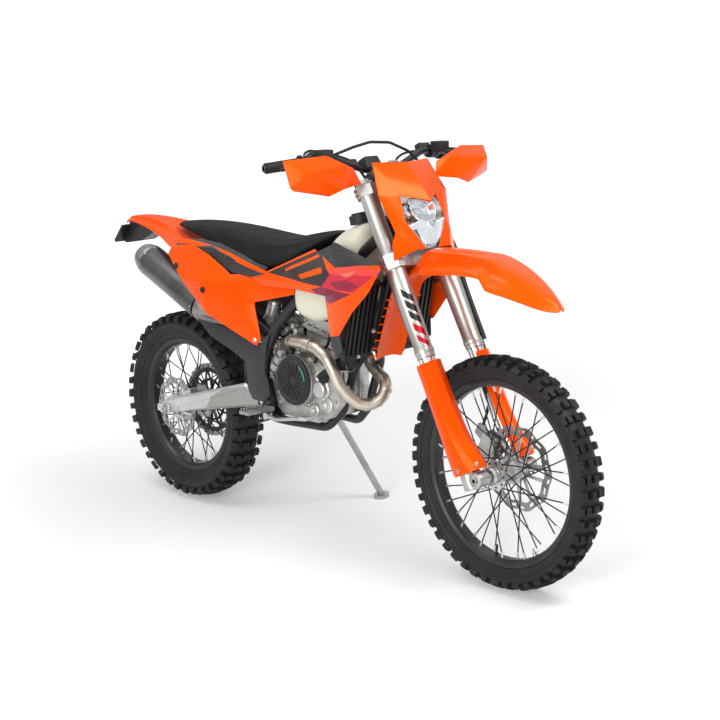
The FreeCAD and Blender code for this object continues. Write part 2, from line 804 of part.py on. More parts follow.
def front_caliper():
    body = caliper(front_axle, front_disc_y, front_disc_radius, (-0.90, 0.43), 84, 12)
    arm = steer_prism([(clamp_offset - 24, 40), (clamp_offset - 24, 110), (-40, 170), (-66, 150), (-30, 60)],
                      front_disc_y + disc_thickness / 2 + 5, front_disc_y + disc_thickness / 2 + 17)
    foot = steer_prism([(clamp_offset - 24, 62), (clamp_offset - 24, 104), (clamp_offset - 34, 104),
                        (clamp_offset - 34, 62)], front_disc_y + 7, leg_y)
    return fused(body, arm, foot).cut(rod(steer(clamp_offset, leg_y, 0), steer(clamp_offset, leg_y, 300),
                                          stanchion_radius))


hose_radius = 4.5
hose_bend = 55.0
hose_route = [
    # ahead, y and up, from the master cylinder over the mask, down the left leg and in to the caliper
    (35, -236, 1021), (42, -186, 1030), (54, -130, 1041), (66, -66, 1049), (74, 4, 1040), (76, 68, 1006),
    (70, 114, 950), (64, 138, 888), (48, 150, 822), (32, 154, 752), (20, 154, 682), (17, 153, 602),
    (16, 152, 522),
    (16, 151, 442), (14, 150, 368), (2, 147, 300), (-22, 136, 236), (-38, 116, 190), (-41, 78, 152),
]


def front_brake_hose():
    """Hose from the right-hand master cylinder to the front caliper, guided down the left fork leg."""
    hose = pipe([steer(*p) for p in hose_route], hose_radius, hose_bend)
    return hose.cut(Part.makeCompound([hand_controls(), front_caliper()]))


# Frame

def spar_points():
    head = steer(-8, 0, 812)
    return [V(head.x, 24, head.z), at(955, 62, 935), at(800, 106, 840), at(714, spar_y, 780),
            at(625, spar_y, 700),
            at(575, spar_y, 625), at(554, spar_y, 560), at(551, spar_y, 500), at(553, spar_y, 430)]


down_tube_top = steer(-10, 0, head_tube_low + 63)
down_tube_low = at(948, 0, 648)
shock_cross = at(612, 0, 686)
tank_cross_x = 700.0
tank_cross = at(tank_cross_x, 0, 767)
cross_radius = 13.0


def cradle_points():
    return [at(958, 12, 668), at(926, 53, 600), at(885, 55, 503), at(866, 57, 446), at(800, 67, 385),
            at(640, 84, 383),
            at(590, 108, 391), at(558, 116, 414), at(553, 116, 440)]


def stand_axis():
    """Axis of the side stand's hinge and the stand's direction when down and when folded."""
    foot_z = stand_foot_y * lug_rest + stand_pad_height / math.cos(lean)
    down = at(stand_foot_x, stand_foot_y, foot_z) - stand_pivot
    length = down.Length
    down.normalize()
    folded = V(-1.0, 0.10, 0.12)
    axis = down.cross(folded)
    axis.normalize()
    return axis, down, length


def main_frame():
    spars = pipe(spar_points(), spar_radius, 90)
    cradle = pipe(cradle_points(), cradle_radius, 60)
    head = rod(steer(0, 0, head_tube_low), steer(0, 0, head_tube_high), head_tube_radius)
    down_tube = rod(down_tube_top, down_tube_low, down_tube_radius)
    gusset = prism([(1080, 1040), (1024, 1020), (994, 900), (1050, 960)], -8, 8)
    plate = prism([(530, 520), (520, 470), (528, 412), (552, 396), (584, 410), (590, 450), (572, 520)],
                  spar_y - 15, spar_y + 12)
    crosses = [
        rod(tank_cross - V(0, spar_y, 0), tank_cross + V(0, spar_y, 0), cross_radius),
        rod(shock_cross - V(0, spar_y, 0), shock_cross + V(0, spar_y, 0), cross_radius - 1),
        rod(at(640, -84, 383), at(640, 84, 383), 11),
    ]
    reach = radiator_inner + 6 - seat_gap
    for spot in (at(975, 0, 700), at(1024, 0, 860)):
        crosses.append(rod(spot - V(0, reach, 0), spot + V(0, reach, 0), 7))
    axis, _, _ = stand_axis()
    lug = rod(stand_pivot - axis * 24, stand_pivot - axis * 7, 13)
    strut = rod(stand_pivot - axis * 16, at(600, 80, 384), 10)
    pin = rod(stand_pivot - axis * 24, stand_pivot + axis * 10, 6)
    solid = fused(spars, mirrored(spars), cradle, mirrored(cradle), head, down_tube, gusset, plate,
                  mirrored(plate),
                  *crosses, lug, strut, pin)
    stem_hole = rod(steer(0, 0, head_tube_low - 5), steer(0, 0, head_tube_high + 5),
                    stem_radius + running_gap)
    pivot_hole = rod(at(pivot_x, -160, pivot_z), at(pivot_x, 160, pivot_z), pivot_radius)
    return solid.cut(Part.makeCompound([stem_hole, pivot_hole]))


def subframe(frame):
    rail = pipe([at(702, 106, 782), at(640, 70, 866), at(400, 74, 880), at(150, 68, 915), V(-40, 45, 938)],
                11, 60)
    strut = pipe([at(600, 104, 672), at(380, 82, 764), at(150, 68, 905)], 10, 60)
    crosses = [rod(at(400, -74, 880), at(400, 74, 880), 9), rod(at(150, -68, 913), at(150, 68, 913), 9)]
    left = fused(rail, strut)
    return fused(left, mirrored(left), *crosses).cut(frame)


guard_level = spar_y + spar_radius + seat_gap + plastic
guard_points = [
    # x, y, z of the outer face: the wing over the exhaust first, then the plate on the frame
    (306, 192, 703), (352, 176, 646), (438, 150, 600), (488, guard_level, 567), (491, guard_level, 479),
    (514, guard_level, 448), (570, guard_level, 446), (603, guard_level, 472), (596, guard_level, 521),
    (580, guard_level, 546), (594, guard_level, 630), (614, guard_level, 681), (560, guard_level, 636),
    (442, 150, 672),
]
guard_faces = [(0, 1, 2, 13), (2, 3, 12, 13), (3, 9, 10, 12), (10, 11, 12), (3, 4, 8, 9), (4, 5, 6, 7, 8)]


def frame_guards():
    """Plates over the frame's sides with a wing that shields the rider from the exhaust."""
    return both_sides(facet_plate(guard_points, guard_faces, V(0, -plastic, 0)))


def swingarm():
    """Cast arm: two beams that close in to the pivot, a bridge ahead of the tyre and axle ends."""
    def section(x, inner, outer, low, high):
        bevel = 8
        return [at(x, inner, low + bevel), at(x, inner + bevel, low), at(x, outer - bevel, low),
                at(x, outer, low + bevel),
                at(x, outer, high - bevel), at(x, outer - bevel, high), at(x, inner + bevel, high),
                at(x, inner, high - bevel)]

    z = rear_axle_z
    beam = loft([
        section(-32, beam_inner, beam_outer, z - 22, z + 26),
        section(210, beam_inner, beam_outer, 362, 428),
        section(440, beam_inner, beam_outer, 406, 488),
        section(462, beam_inner - 2, beam_outer - 3, 410, 474),
        section(505, 72, 98, 418, 464),
        section(pivot_x, 66, 98, 420, 464),
    ])
    bridge = prism([(385, 410), (470, 424), (470, 462), (388, 464)], -beam_inner - 6, beam_inner + 6)
    boss = rod(at(pivot_x, -98, pivot_z), at(pivot_x, 98, pivot_z), 22)
    ears = [prism([(436, 460), (490, 458), (486, 500), (474, 516), (460, 514), (448, 496)], *span)
            for span in ((-24, -14 - seat_gap), (14 + seat_gap, 24))]
    bolt = rod(at(pivot_x, -spar_y - 16, pivot_z), at(pivot_x, spar_y + 16, pivot_z), pivot_radius)
    eye = shock_eye()
    shock_bolt = rod(eye - V(0, 26, 0), eye + V(0, 26, 0), 6)
    solid = fused(beam, mirrored(beam), bridge, boss, bolt, *ears, shock_bolt)
    pocket = prism([(60, z - 2), (250, 378), (400, 424), (404, 462), (250, 408), (60, z + 14)],
                   beam_outer - pocket_depth, beam_outer + 1)
    hole = rod(V(0, -140, z), V(0, 140, z), axle_radius)
    return solid.cut(Part.makeCompound([pocket, mirrored(pocket), hole]))


shock_low = at(459, 0, 492)


def shock_line():
    along = shock_cross - shock_low
    along.normalize()
    return along


def shock_eye():
    return shock_low + shock_line() * 14


def rear_shock():
    """Damper body, spring and eyes between the swingarm and the frame."""
    along, shock_top = shock_line(), shock_cross
    low_eye = rod(shock_eye() - V(0, 14, 0), shock_eye() + V(0, 14, 0), 13)
    rod_part = rod(shock_low + along * 20, shock_low + along * 60, 9)
    spring = rod(shock_low + along * 50, shock_top - along * 52, 38)
    body = rod(shock_top - along * 56, shock_top - along * 16, 26)
    holes = [rod(shock_cross - V(0, 60, 0), shock_cross + V(0, 60, 0), cross_radius - 1),
             rod(shock_eye() - V(0, 30, 0), shock_eye() + V(0, 30, 0), 6)]
    return fused(low_eye, rod_part, spring, body).cut(Part.makeCompound(holes))


# Engine

clutch_face = 104.0
pump_centre = at(828, 0, 520)


def crankcase():
    """Engine cases with the clutch side, pump housing and ignition side."""
    middle = [(596, 440), (640, 408), (780, 406), (812, 418), (838, 456), (852, 510), (850, 580), (820, 618),
              (700, 640), (610, 600), (585, 540)]
    right = [(600, 430), (640, 408), (700, 404), (800, 406), (852, 428), (900, 478), (905, 530), (880, 570),
             (800, 606), (700, 618), (620, 590), (590, 520)]
    core = prism(middle, -clutch_face + 27, 70)
    cover = prism(right, -clutch_face, -clutch_face + 27)
    return fused(core, cover, rod(pump_centre + V(0, -clutch_face, 0),
                                  pump_centre + V(0, -clutch_face - 20, 0), 24))


def engine_covers():
    """Clutch cover with its filler on the right and the ignition cover on the left."""
    clutch = at(722, -clutch_face - seat_gap, 542)
    right = fused(rod(clutch, clutch - V(0, 27, 0), 77),
                  cone(clutch - V(0, 27, 0), clutch - V(0, 41, 0), 77, 66),
                  rod(clutch + V(-34, 0, 80), clutch + V(-34, -24, 80), 14))
    ignition = at(745, 70 + seat_gap, 505)
    left = fused(rod(ignition, ignition + V(0, 28, 0), 68),
                 cone(ignition + V(0, 28, 0), ignition + V(0, 38, 0), 68, 54))
    return Part.makeCompound([right, left])


def cylinder_head():
    """Leaning cylinder, head and cam cover, with the exhaust flange and the throttle body."""
    barrel = prism([(700, 640.3), (820, 618.3), (830, 680), (712, 705)], -62, 62)
    head = prism([(700, 700), (836, 672), (846, 722), (712, 748)], -72, 68)
    cover = prism([(716, 740), (838, 716), (826, 752), (730, 770)], -60, 60)
    port = rod(at(826, 0, 690), at(862, 0, 672), 24)
    throttle = rod(at(716, 0, 717), at(652, 0, 730), 27)
    pulley_box = block(at(655, -48, 712), at(690, -24, 745))
    return fused(barrel, head, cover, port, throttle, pulley_box).cut(crankcase())


def front_sprocket():
    plate = sprocket(front_sprocket_centre, front_teeth, pitch_radius(front_teeth) - chain_height / 2 - 1.5,
                     8, 0)
    shaft = rod(front_sprocket_centre + V(0, 70 + seat_gap, 0),
                front_sprocket_centre + V(0, chain_y + 10, 0), 12)
    return fused(plate, shaft)


def chain_guide():
    """Guide round the lower run behind the swingarm and the slider over its pivot."""
    cheeks = prism([(150, low_run(150) - 21), (240, low_run(240) - 29), (262, low_run(262) + 32), (250, 372),
                    (180, 366), (165, low_run(165) + 34)], chain_y - 12, chain_y + 13)
    return cheeks.cut(chain_room(seat_gap)).cut(swingarm())


header_points = [
    at(862, 0, 672), at(904, 8, 640), at(925, 10, 592), at(962, 10, 568), at(1004, 2, 548),
    at(1008, -18, 508),
    at(988, -45, 483), at(962, -75, 486), at(942, -102, 512), at(921, -122, 550), at(908, -131, 590),
    at(884, -136, 630),
    at(838, -136, 655), at(775, -132, 664), at(712, -124, 662), at(655, -92, 648), at(606, -74, 634),
    at(560, -68, 628),
    at(500, -76, 640), at(430, -96, 668), at(385, -122, 696),
]
header_radius = 19.0


def exhaust_header():
    return pipe(header_points, header_radius, 45).cut(cylinder_head()).cut(silencer())


silencer_rear = V(-15, -142, 866)
silencer_front = at(278, -142, 738)
silencer_mouth = at(385, -122, 696)
silencer_radius = 55.0


def silencer():
    """Oval can with a front cone and a tapered end cap with its outlet."""
    along = silencer_rear - silencer_front
    along.normalize()
    can = rod(silencer_front, silencer_rear, silencer_radius)
    front = cone(silencer_front, silencer_mouth - (silencer_mouth - silencer_front) * 0.004,
                 silencer_radius, header_radius + 5)
    cap = cone(silencer_rear, silencer_rear + along * 48, silencer_radius, 40)
    outlet = rod(silencer_rear + along * 20, silencer_rear + along * 49, 17)
    return fused(can, front, cap).cut(outlet)


radiator_low = V(1000, 0, 640)
radiator_top = V(1055, 0, 880)
radiator_inner = 62.0
radiator_outer = 172.0
louvre_depth = 14.0
radiator_depth = 34.0
slot_count = 6


def radiator_side(front, back):
    """Side view between two distances behind the louvres' front plane."""
    up = radiator_top - radiator_low
    up.normalize()
    behind = V(-up.z, 0, up.x)
    a, b = radiator_low + behind * front, radiator_top + behind * front
    c, d = radiator_top + behind * back, radiator_low + behind * back
    return [(p.x, p.z) for p in (a, b, c, d)]


def radiators():
    """Cores with louvred shields in front of them, slotted upright."""
    front = louvre_depth + seat_gap
    core = prism(radiator_side(front, front + radiator_depth), radiator_inner + 6, radiator_outer - 8)
    plate = prism(radiator_side(0, louvre_depth), radiator_inner, radiator_outer)
    pitch = (radiator_outer - radiator_inner) / slot_count
    up = radiator_top - radiator_low
    up.normalize()
    behind = V(-up.z, 0, up.x)
    low, high = radiator_low + up * 14, radiator_top - up * 14
    corners = [low - behind * 2, high - behind * 2, high + behind * (louvre_depth + 2),
               low + behind * (louvre_depth + 2)]
    slots = []
    for k in range(slot_count):
        y = radiator_inner + pitch * (k + 0.25)
        slots.append(face_of([at(p.x, y, p.z) for p in corners]).extrude(V(0, pitch * 0.5, 0)))
    return Part.makeCompound([both_sides(core), both_sides(plate.cut(Part.makeCompound(slots)))])


def coolant_hoses():
    right = pipe([at(968, -100, 652), at(950, -92, 606), at(886, -86, 598), at(846, -100, 574),
                  at(830, -113, 530)], 14, 40)
    return right.cut(Part.makeCompound([radiators(), crankcase()]))


# Body

tank_rear = [
    (tank_cross_x + cross_radius + seat_gap, [(0, 905), (60, 900), (104, 868), (118, 826), (116, 772),
                                              (85, 764),
                                             (76, 800), (0, 812)]),
    (752, [(0, 925), (60, 920), (120, 882), (138, 830), (136, 755), (85, 752), (76, 800), (0, 812)]),
    (820, [(0, 956), (60, 952), (116, 926), (138, 840), (132, 735), (84, 735), (76, 795), (0, 806)]),
    (852, [(0, 968), (58, 965), (112, 940), (136, 850), (130, 742), (84, 738), (76, 795), (0, 806)]),
]
tank_front = [
    (852, [(0, 1022), (48, 1008), (110, 955), (136, 850), (130, 742), (84, 738), (76, 795), (0, 806)]),
    (925, [(0, 1044), (48, 1034), (98, 960), (128, 860), (118, 766), (84, 760), (60, 800), (0, 806)]),
    (992, [(0, 1050), (42, 1044), (72, 970), (88, 890), (78, 850), (60, 836), (34, 836), (0, 836)]),
]


def station_loft(stations):
    """A symmetric solid from half sections of (y, z) points at stations along X."""
    sections = []
    for x, half in stations:
        left = [at(x, y, z) for y, z in half]
        right = [at(x, -y, z) for y, z in reversed(half[1:-1])]
        sections.append(left + right)
    return loft(sections)


cap_centre = at(912, 0, 1036)
cap_axis = V(-0.25, 0, 1)
cap_radius = 36.0


def fuel_cap():
    start = cap_centre
    end = cap_centre + cap_axis * 26
    return fused(rod(start, end, cap_radius), rod(end, end + cap_axis * 6, cap_radius - 8))


def fuel_tank():
    body = fused(station_loft(tank_rear), station_loft(tank_front))
    channels = [pipe(spar_points(), spar_radius + 4, 90)]
    channels.append(mirrored(channels[0]))
    down = rod(down_tube_top, down_tube_low, down_tube_radius + 4)
    return body.cut(Part.makeCompound(channels + [down, fuel_cap()]))


seat_stations = [
    # x, lower edge (half width, z), top edge (half width, z), top of the middle
    (-20, (34, 988.5), (30, 991), 992),
    (55, (62, 979), (60, 988), 997),
    (145, (86, 966), (80, 990), 1001),
    (287, (108, 943), (96, 986), 994),
    (462, (130, 906), (102, 972), 977),
    (560, (140, 882), (104, 964), 968),
    (629, (140, 888), (104, 966), 972),
    (709, (138, 915), (98, 974), 991),
    (790, (126, 960), (80, 996), 1004),
    (848, (62, 1000), (44, 1006), 1010),
]


def seat():
    """Padded saddle from the tank to the rear mudguard, as one plain body."""
    sections = []
    for x, (low_half, low), (top_half, top), crown in seat_stations:
        half = [(low_half, low), (top_half, top), (0, crown)]
        ring = [at(x, y, z) for y, z in half]
        ring += [at(x, -y, z) for y, z in reversed(half[:-1])]
        sections.append(ring)
    return loft(sections).cut(fuel_tank())


panel_points = [
    (166, 200, 909), (175, 190, 939), (288, 182, 945), (362, 176, 916), (434, 166, 873), (453, 163, 859),
    (521, 145, 863), (600, 137, 842), (735, 134, 832), (735, 134, 814), (548, 142, 773), (547, 142, 761),
    (573, 143, 656), (558, 150, 632), (367, 203, 725), (239, 205, 829), (340, 203, 829), (471, 172, 837),
    (505, 164, 775),
]
panel_faces = [
    (0, 1, 2, 3, 16, 15), (3, 4, 17, 16), (4, 5, 17), (5, 6, 7, 17), (7, 8, 9, 10), (7, 10, 18, 17),
    (10, 11, 18), (11, 12, 13, 18), (16, 17, 18, 14), (18, 13, 14), (15, 16, 14),
]


def side_panels():
    """Faceted panels beside the rear of the seat, each with a boss that meets the frame's guard."""
    panel = facet_plate(panel_points, panel_faces, V(0, -plastic, 0))
    boss = rod(at(562, guard_level + seat_gap, 652), at(562, 143, 652), 8)
    return both_sides(fused(panel, boss))


shroud_points = [
    (540, 150, 854), (600, 149, 872), (720, 144, 918), (837, 132, 965), (964, 166, 921), (1106, 192, 941),
    (1194, 202, 949), (1202, 202, 940), (1149, 204, 866), (1076, 204, 800), (1014, 202, 724), (973, 200, 716),
    (926, 174, 832), (764, 152, 835), (610, 148, 832), (800, 156, 880), (1000, 190, 850),
]
shroud_faces = [
    (0, 1, 14), (1, 2, 15, 13, 14), (2, 3, 15), (3, 4, 15), (4, 12, 13, 15), (4, 16, 12), (4, 5, 16),
    (5, 8, 9, 16), (5, 6, 7, 8), (16, 9, 10, 11, 12),
]


def shrouds():
    """Pointed radiator shrouds, bossed to the tank and to the radiators' shields."""
    plate = facet_plate(shroud_points, shroud_faces, V(0, -plastic, 0))
    tank_boss = rod(at(842, 120, 880), at(842, 154, 880), 7).cut(fuel_tank())
    shield_boss = rod(at(1020, radiator_outer + seat_gap, 760), at(1020, 198, 760), 6)
    return both_sides(fused(plate, tank_boss, shield_boss))


cover_points = [
    (850, 131, 958), (964, 161.6, 921), (1106, 187.6, 940.5), (1190, 197.2, 948), (918, 122, 990),
    (895, 118, 978),
]
cover_faces = [(0, 1, 5), (5, 1, 4), (4, 1, 2), (4, 2, 3)]
tip_points = [(968, 191.6, 728), (1008, 196.8, 734), (1016, 190, 672), (985, 187, 656), (962, 187, 684)]
tip_faces = [(0, 1, 2), (0, 2, 3, 4)]


def shroud_covers():
    """Black plates on the top edges of the shrouds and at their lower tips."""
    top = facet_plate(cover_points, cover_faces, V(0, -plastic, 0))
    tip = facet_plate(tip_points, tip_faces, V(0, -plastic, 0))
    return Part.makeCompound([both_sides(top), both_sides(tip)])


rear_fender_rows = [
    # x, middle top, shoulder (y, z), edge (y, z)
    (-315, 978, (22, 977), (34, 972)),
    (-300, 997, (24, 996), (42, 982)),
    (-262, 1002, (30, 1002), (50, 984)),
    (-141, 1003, (44, 996), (74, 972)),
    (-33, 988, (60, 990), (100, 952)),
    (30, 966, (76, 983), (124, 944)),
    (110, 948, (108, 962), (160, 932)),
    (172, 934, (124, 950), (185, 929)),
]


def rear_fender():
    outer = []
    for x, top, (shoulder, shoulder_z), (edge, edge_z) in rear_fender_rows:
        half = [(0, top), (shoulder, shoulder_z), (edge, edge_z)]
        outer.append([at(x, -y, z) for y, z in reversed(half[1:])] + [at(x, y, z) for y, z in half])
    inner = [[p - V(0, 0, plastic) for p in row] for row in outer]
    return row_plate(outer, inner)


plate_low = V(-359, 0, 907)
plate_high = V(-306, 0, 966)
plate_bolt_reach = 44.0
plate_bolt_radius = 3.2


def plate_centre():
    return (plate_low + plate_high) * 0.5


def plate_normal():
    up = plate_high - plate_low
    up.normalize()
    return V(-up.z, 0, up.x)


def tail_unit():
    """Plate holder and tail lamp under the tip of the rear mudguard."""
    outline = [(-359, 907), (-306, 966), (-300, 988), (-262, 996), (-141, 993.8), (-50, 984), (-50, 958),
               (-150, 948), (-226, 912), (-330, 896)]
    body = prism(outline, -28, 28)
    plate = prism([(-359, 907), (-306, 966), (-300, 960), (-352, 900)], -62, 62)
    bolts = [rod(plate_centre() + V(0, s * plate_bolt_reach, 0) - plate_normal() * 20,
                 plate_centre() + V(0, s * plate_bolt_reach, 0) + plate_normal() * 20,
                 plate_bolt_radius) for s in (-1, 1)]
    return fused(body, plate).cut(Part.makeCompound([rear_fender()] + bolts))


def airbox():
    """Air box between the subframe's rails, with the mud flap ahead of the rear tyre."""
    outline = [(372, 560), (392, 560), (440, 640), (506, 760), (528, 870.7), (300, 870.7), (200, 890),
               (214, 850),
               (340, 720)]
    flap = [(372, 440), (380, 440), (392, 562), (372, 562)]
    return fused(prism(outline, -56, 56), prism(flap, -58, 58))


# Foot parts and stand

def footpegs():
    """Toothed pegs on brackets that stand off the frame's plates."""
    platform = block(at(566, 140, 424), at(614, 238, 434))
    teeth = []
    for k in range(8):
        y = 146 + k * 11.5
        teeth.append(block(at(566, y, 434), at(572, y + 5, 441)))
        teeth.append(block(at(608, y, 434), at(614, y + 5, 441)))
    hollow = block(at(576, 150, 420), at(604, 230, 440))
    hinge = rod(at(572, 136, 428), at(608, 136, 428), 9)
    bracket = block(at(566, spar_y + 12 + seat_gap, 418), at(606, 134, 434))
    left = fused(platform, *teeth).cut(hollow)
    return both_sides(fused(left, hinge, bracket))


def foot_controls():
    """Brake pedal on the right and gear shifter on the left."""
    pedal = fused(pipe([at(588, -140, 404), at(640, -146, 400), at(738, -150, 418), at(792, -150, 424)], 6,
                       30),
                  block(at(778, -166, 424), at(806, -136, 434)),
                  rod(at(588, -150, 404), at(588, -128, 404), 11))
    shifter = fused(pipe([at(690, 120, 424), at(750, 124, 420), at(812, 126, 432)], 5, 30),
                    rod(at(812, 120, 432), at(812, 158, 432), 8),
                    rod(at(690, 70 + seat_gap, 424), at(690, 128, 424), 8))
    return Part.makeCompound([pedal, shifter])


def side_stand():
    axis, down, length = stand_axis()
    head = rod(stand_pivot - axis * 6, stand_pivot + axis * 8, 15)
    foot = stand_pivot + down * length
    floor_normal = V(0, -math.sin(lean), math.cos(lean))
    leg = rod(stand_pivot + axis * 7 + down * 8, foot + floor_normal * 6, stand_tube_radius)
    pad = rod(foot - floor_normal * stand_pad_height, foot + floor_normal * 5, stand_pad_radius)
    solid = fused(head, leg, pad)
    hole = rod(stand_pivot - axis * 30, stand_pivot + axis * 30, 6 + running_gap)
    return solid.cut(hole)


def rear_caliper():
    wall = beam_inner - seat_gap - rear_disc_y - disc_thickness / 2 - 5.0
    return caliper(rear_axle, -rear_disc_y, rear_disc_radius, (0.90, 0.43), 66, wall)


# Names of the pieces and what makes them

def all_pieces():
    frame = main_frame()
    tank = fuel_tank()
    front_seat = front_disc_y - disc_thickness / 2
    rear_seat = rear_disc_y - disc_thickness / 2
    sprocket_seat = chain_y - sprocket_thickness / 2
    return {
        "main_frame": frame,
        "subframe": subframe(frame),
        "frame_guards": frame_guards(),
        "crankcase": crankcase(),
        "cylinder_head": cylinder_head(),
        "engine_covers": engine_covers(),
        "exhaust_header": exhaust_header(),
        "silencer": silencer(),
        "radiators": radiators(),
        "coolant_hoses": coolant_hoses(),
        "fuel_tank": tank,
        "fuel_cap": fuel_cap(),
        "seat": seat(),
        "shrouds": shrouds(),
        "shroud_covers": shroud_covers(),
        "side_panels": side_panels(),
        "rear_fender": rear_fender(),
        "tail_unit": tail_unit(),
        "airbox": airbox(),
        "swingarm": swingarm(),
        "rear_shock": rear_shock(),
        "front_sprocket": front_sprocket(),
        "chain": chain(),
        "chain_guide": chain_guide(),
        "footpegs": footpegs(),
        "foot_controls": foot_controls(),
        "rear_caliper": rear_caliper(),
        "rear_axle": axle(rear_axle, 128, 83, beam_inner, 17),
        "rear_tyre": tyre(rear_outline, rear_axle, rear_pitches),
        "rear_rim": rim(rear_axle, rear_rim_bore, rear_rim_lip, rear_rim_half),
        "rear_hub": hub(rear_axle, 27, (82, 82), 52, 42, 44, (sprocket_seat, -rear_seat), rear_rim_bore),
        "rear_sprocket": sprocket(rear_axle, rear_teeth, pitch_radius(rear_teeth) - chain_height / 2 - 1.5,
                                  27, 10),
        "rear_disc": wave_disc(rear_axle, -rear_disc_y, rear_disc_radius, 27, 10),
        "handlebar": handlebar(),
        "grips": grips(),
        "hand_controls": hand_controls(),
        "handguards": handguards(),
        "triple_clamps": triple_clamps(),
        "fork_outer_tubes": fork_outer_tubes(),
        "fork_inner_tubes": fork_inner_tubes(),
        "fork_guards": fork_guards(),
        "front_fender": front_fender(),
        "headlight_mask": headlight_mask(),
        "headlamp": headlamp(),
        "front_caliper": front_caliper(),
        "front_brake_hose": front_brake_hose(),
        "front_axle": axle(front_axle, 128, 66, leg_y - lug_half, 15),
        "front_tyre": tyre(front_outline, front_axle, front_pitches),
        "front_rim": rim(front_axle, front_rim_bore, front_rim_lip, front_rim_half),
        "front_hub": hub(front_axle, 22, (65, 65), 34, 36, 34, (front_seat, -50), front_rim_bore),
        "front_disc": wave_disc(front_axle, front_disc_y, front_disc_radius, 22, 10),
        "side_stand": side_stand(),
    }


def main():
    os.makedirs("parts", exist_ok=True)
    pieces = all_pieces()
    park = FreeCAD.Rotation(V(1, 0, 0), -lean_deg)
    leaned = {}
    box = FreeCAD.BoundBox()
    for name, shape in pieces.items():
        moved = shape.copy()
        moved.Placement = FreeCAD.Placement(V(0, 0, 0), park).multiply(moved.Placement)
        leaned[name] = moved
        box.add(moved.optimalBoundingBox(False))
    shift = V(-(box.XMin + box.XMax) / 2, -(box.YMin + box.YMax) / 2, -box.ZMin)
    for name, shape in leaned.items():
        shape.translate(shift)
        shape.exportStep("parts/" + name + ".step")
        if not shape.isValid():
            print("invalid", name)

    def place(point):
        return park.multVec(point) + shift

    print("size", round(box.XLength, 2), round(box.YLength, 2), round(box.ZLength, 2))
    for name, point in {
        "rear_axle": rear_axle, "front_axle": front_axle, "steering": steer(0, 0, 0),
        "stand_pivot": stand_pivot, "bar_end_left": bar_end,
        "bar_end_right": V(bar_end.x, -bar_end.y, bar_end.z),
        "plate_centre": plate_centre(),
    }.items():
        at = place(point)
        print("point", name, round(at.x, 4), round(at.y, 4), round(at.z, 4))
    axis, _, _ = stand_axis()
    _, radii = bend_path([steer(*p) for p in hose_route], hose_bend)
    print("hose bends from", round(min(radii), 1), "to", round(max(radii), 1))
    outward = bar_direction()
    for name, way in {
        "wheel": V(0, 1, 0), "steering": steer_up, "stand": axis, "bar_left": outward,
        "bar_right": V(outward.x, -outward.y, outward.z), "plate": plate_normal(),
    }.items():
        to = park.multVec(way)
        print("axis", name, round(to.x, 6), round(to.y, 6), round(to.z, 6))


main()
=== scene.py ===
import math
import bpy
import bmesh
from mathutils import Matrix, Vector
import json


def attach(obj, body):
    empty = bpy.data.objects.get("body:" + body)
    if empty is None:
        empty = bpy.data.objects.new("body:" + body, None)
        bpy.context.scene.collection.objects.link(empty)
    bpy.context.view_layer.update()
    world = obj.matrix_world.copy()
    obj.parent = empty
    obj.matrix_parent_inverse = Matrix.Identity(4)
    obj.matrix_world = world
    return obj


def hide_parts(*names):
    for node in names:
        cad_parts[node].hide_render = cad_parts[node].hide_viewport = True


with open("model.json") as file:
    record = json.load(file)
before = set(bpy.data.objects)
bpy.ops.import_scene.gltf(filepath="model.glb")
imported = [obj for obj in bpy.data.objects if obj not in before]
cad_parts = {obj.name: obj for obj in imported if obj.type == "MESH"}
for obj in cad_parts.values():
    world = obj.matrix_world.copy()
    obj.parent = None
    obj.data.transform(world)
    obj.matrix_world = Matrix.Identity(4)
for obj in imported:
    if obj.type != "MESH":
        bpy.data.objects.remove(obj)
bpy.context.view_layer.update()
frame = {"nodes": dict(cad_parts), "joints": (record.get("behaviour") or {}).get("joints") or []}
nodes = frame["nodes"]
print("frame loaded,", len(nodes), "nodes")

# A place for each body, in millimetres: upright bike, steering axis (ahead, y, up) and wheels' axles
leanDeg, rakeDeg = 9.0, 26.5
jointPlace = {j["name"]: Vector(j["pos_m"]) for j in frame["joints"]}
rearAxle = jointPlace["rear_wheel_spin"]
leanTurn = Matrix.Rotation(math.radians(-leanDeg), 4, "X")
rakeTurn = Matrix.Rotation(math.radians(-rakeDeg), 4, "Y")
belowAxle = Vector((rearAxle.x, rearAxle.y - rearAxle.z * math.tan(math.radians(leanDeg)), 0))
bikePlace = Matrix.Translation(belowAxle) @ leanTurn
steerPlace = Matrix.Translation(jointPlace["steering"]) @ leanTurn @ rakeTurn
places = {"chassis": bikePlace, "steering": steerPlace, "origin": Matrix(), "unit": Matrix.Scale(1000, 4)}
for wheel in ("front_wheel", "rear_wheel"):
    places[wheel] = Matrix.Translation(jointPlace[wheel + "_spin"]) @ leanTurn


def spot(body, x, y, z):
    return places[body] @ (Vector((x, y, z)) * 0.001)


def around(radius, angle, y=0.0, aside=0.0):
    c, s = math.cos(angle), math.sin(angle)
    return Vector((radius * c - aside * s, y, radius * s + aside * c))


def turnsOf(count, phase=0.0):
    return [2 * math.pi * (k + phase) / count for k in range(count)]


def addObject(name, data):
    made = bpy.data.objects.new(name, data)
    bpy.context.scene.collection.objects.link(made)
    return made


# Camera, fitted to the photograph
cameraFit = {"place": (4.3449, -3.1862, 1.5208), "yaw": 2.3971, "pitch": -0.1925, "roll": 0.0267,
             "lens": 76.18, "sensor": 36, "clip": 60}


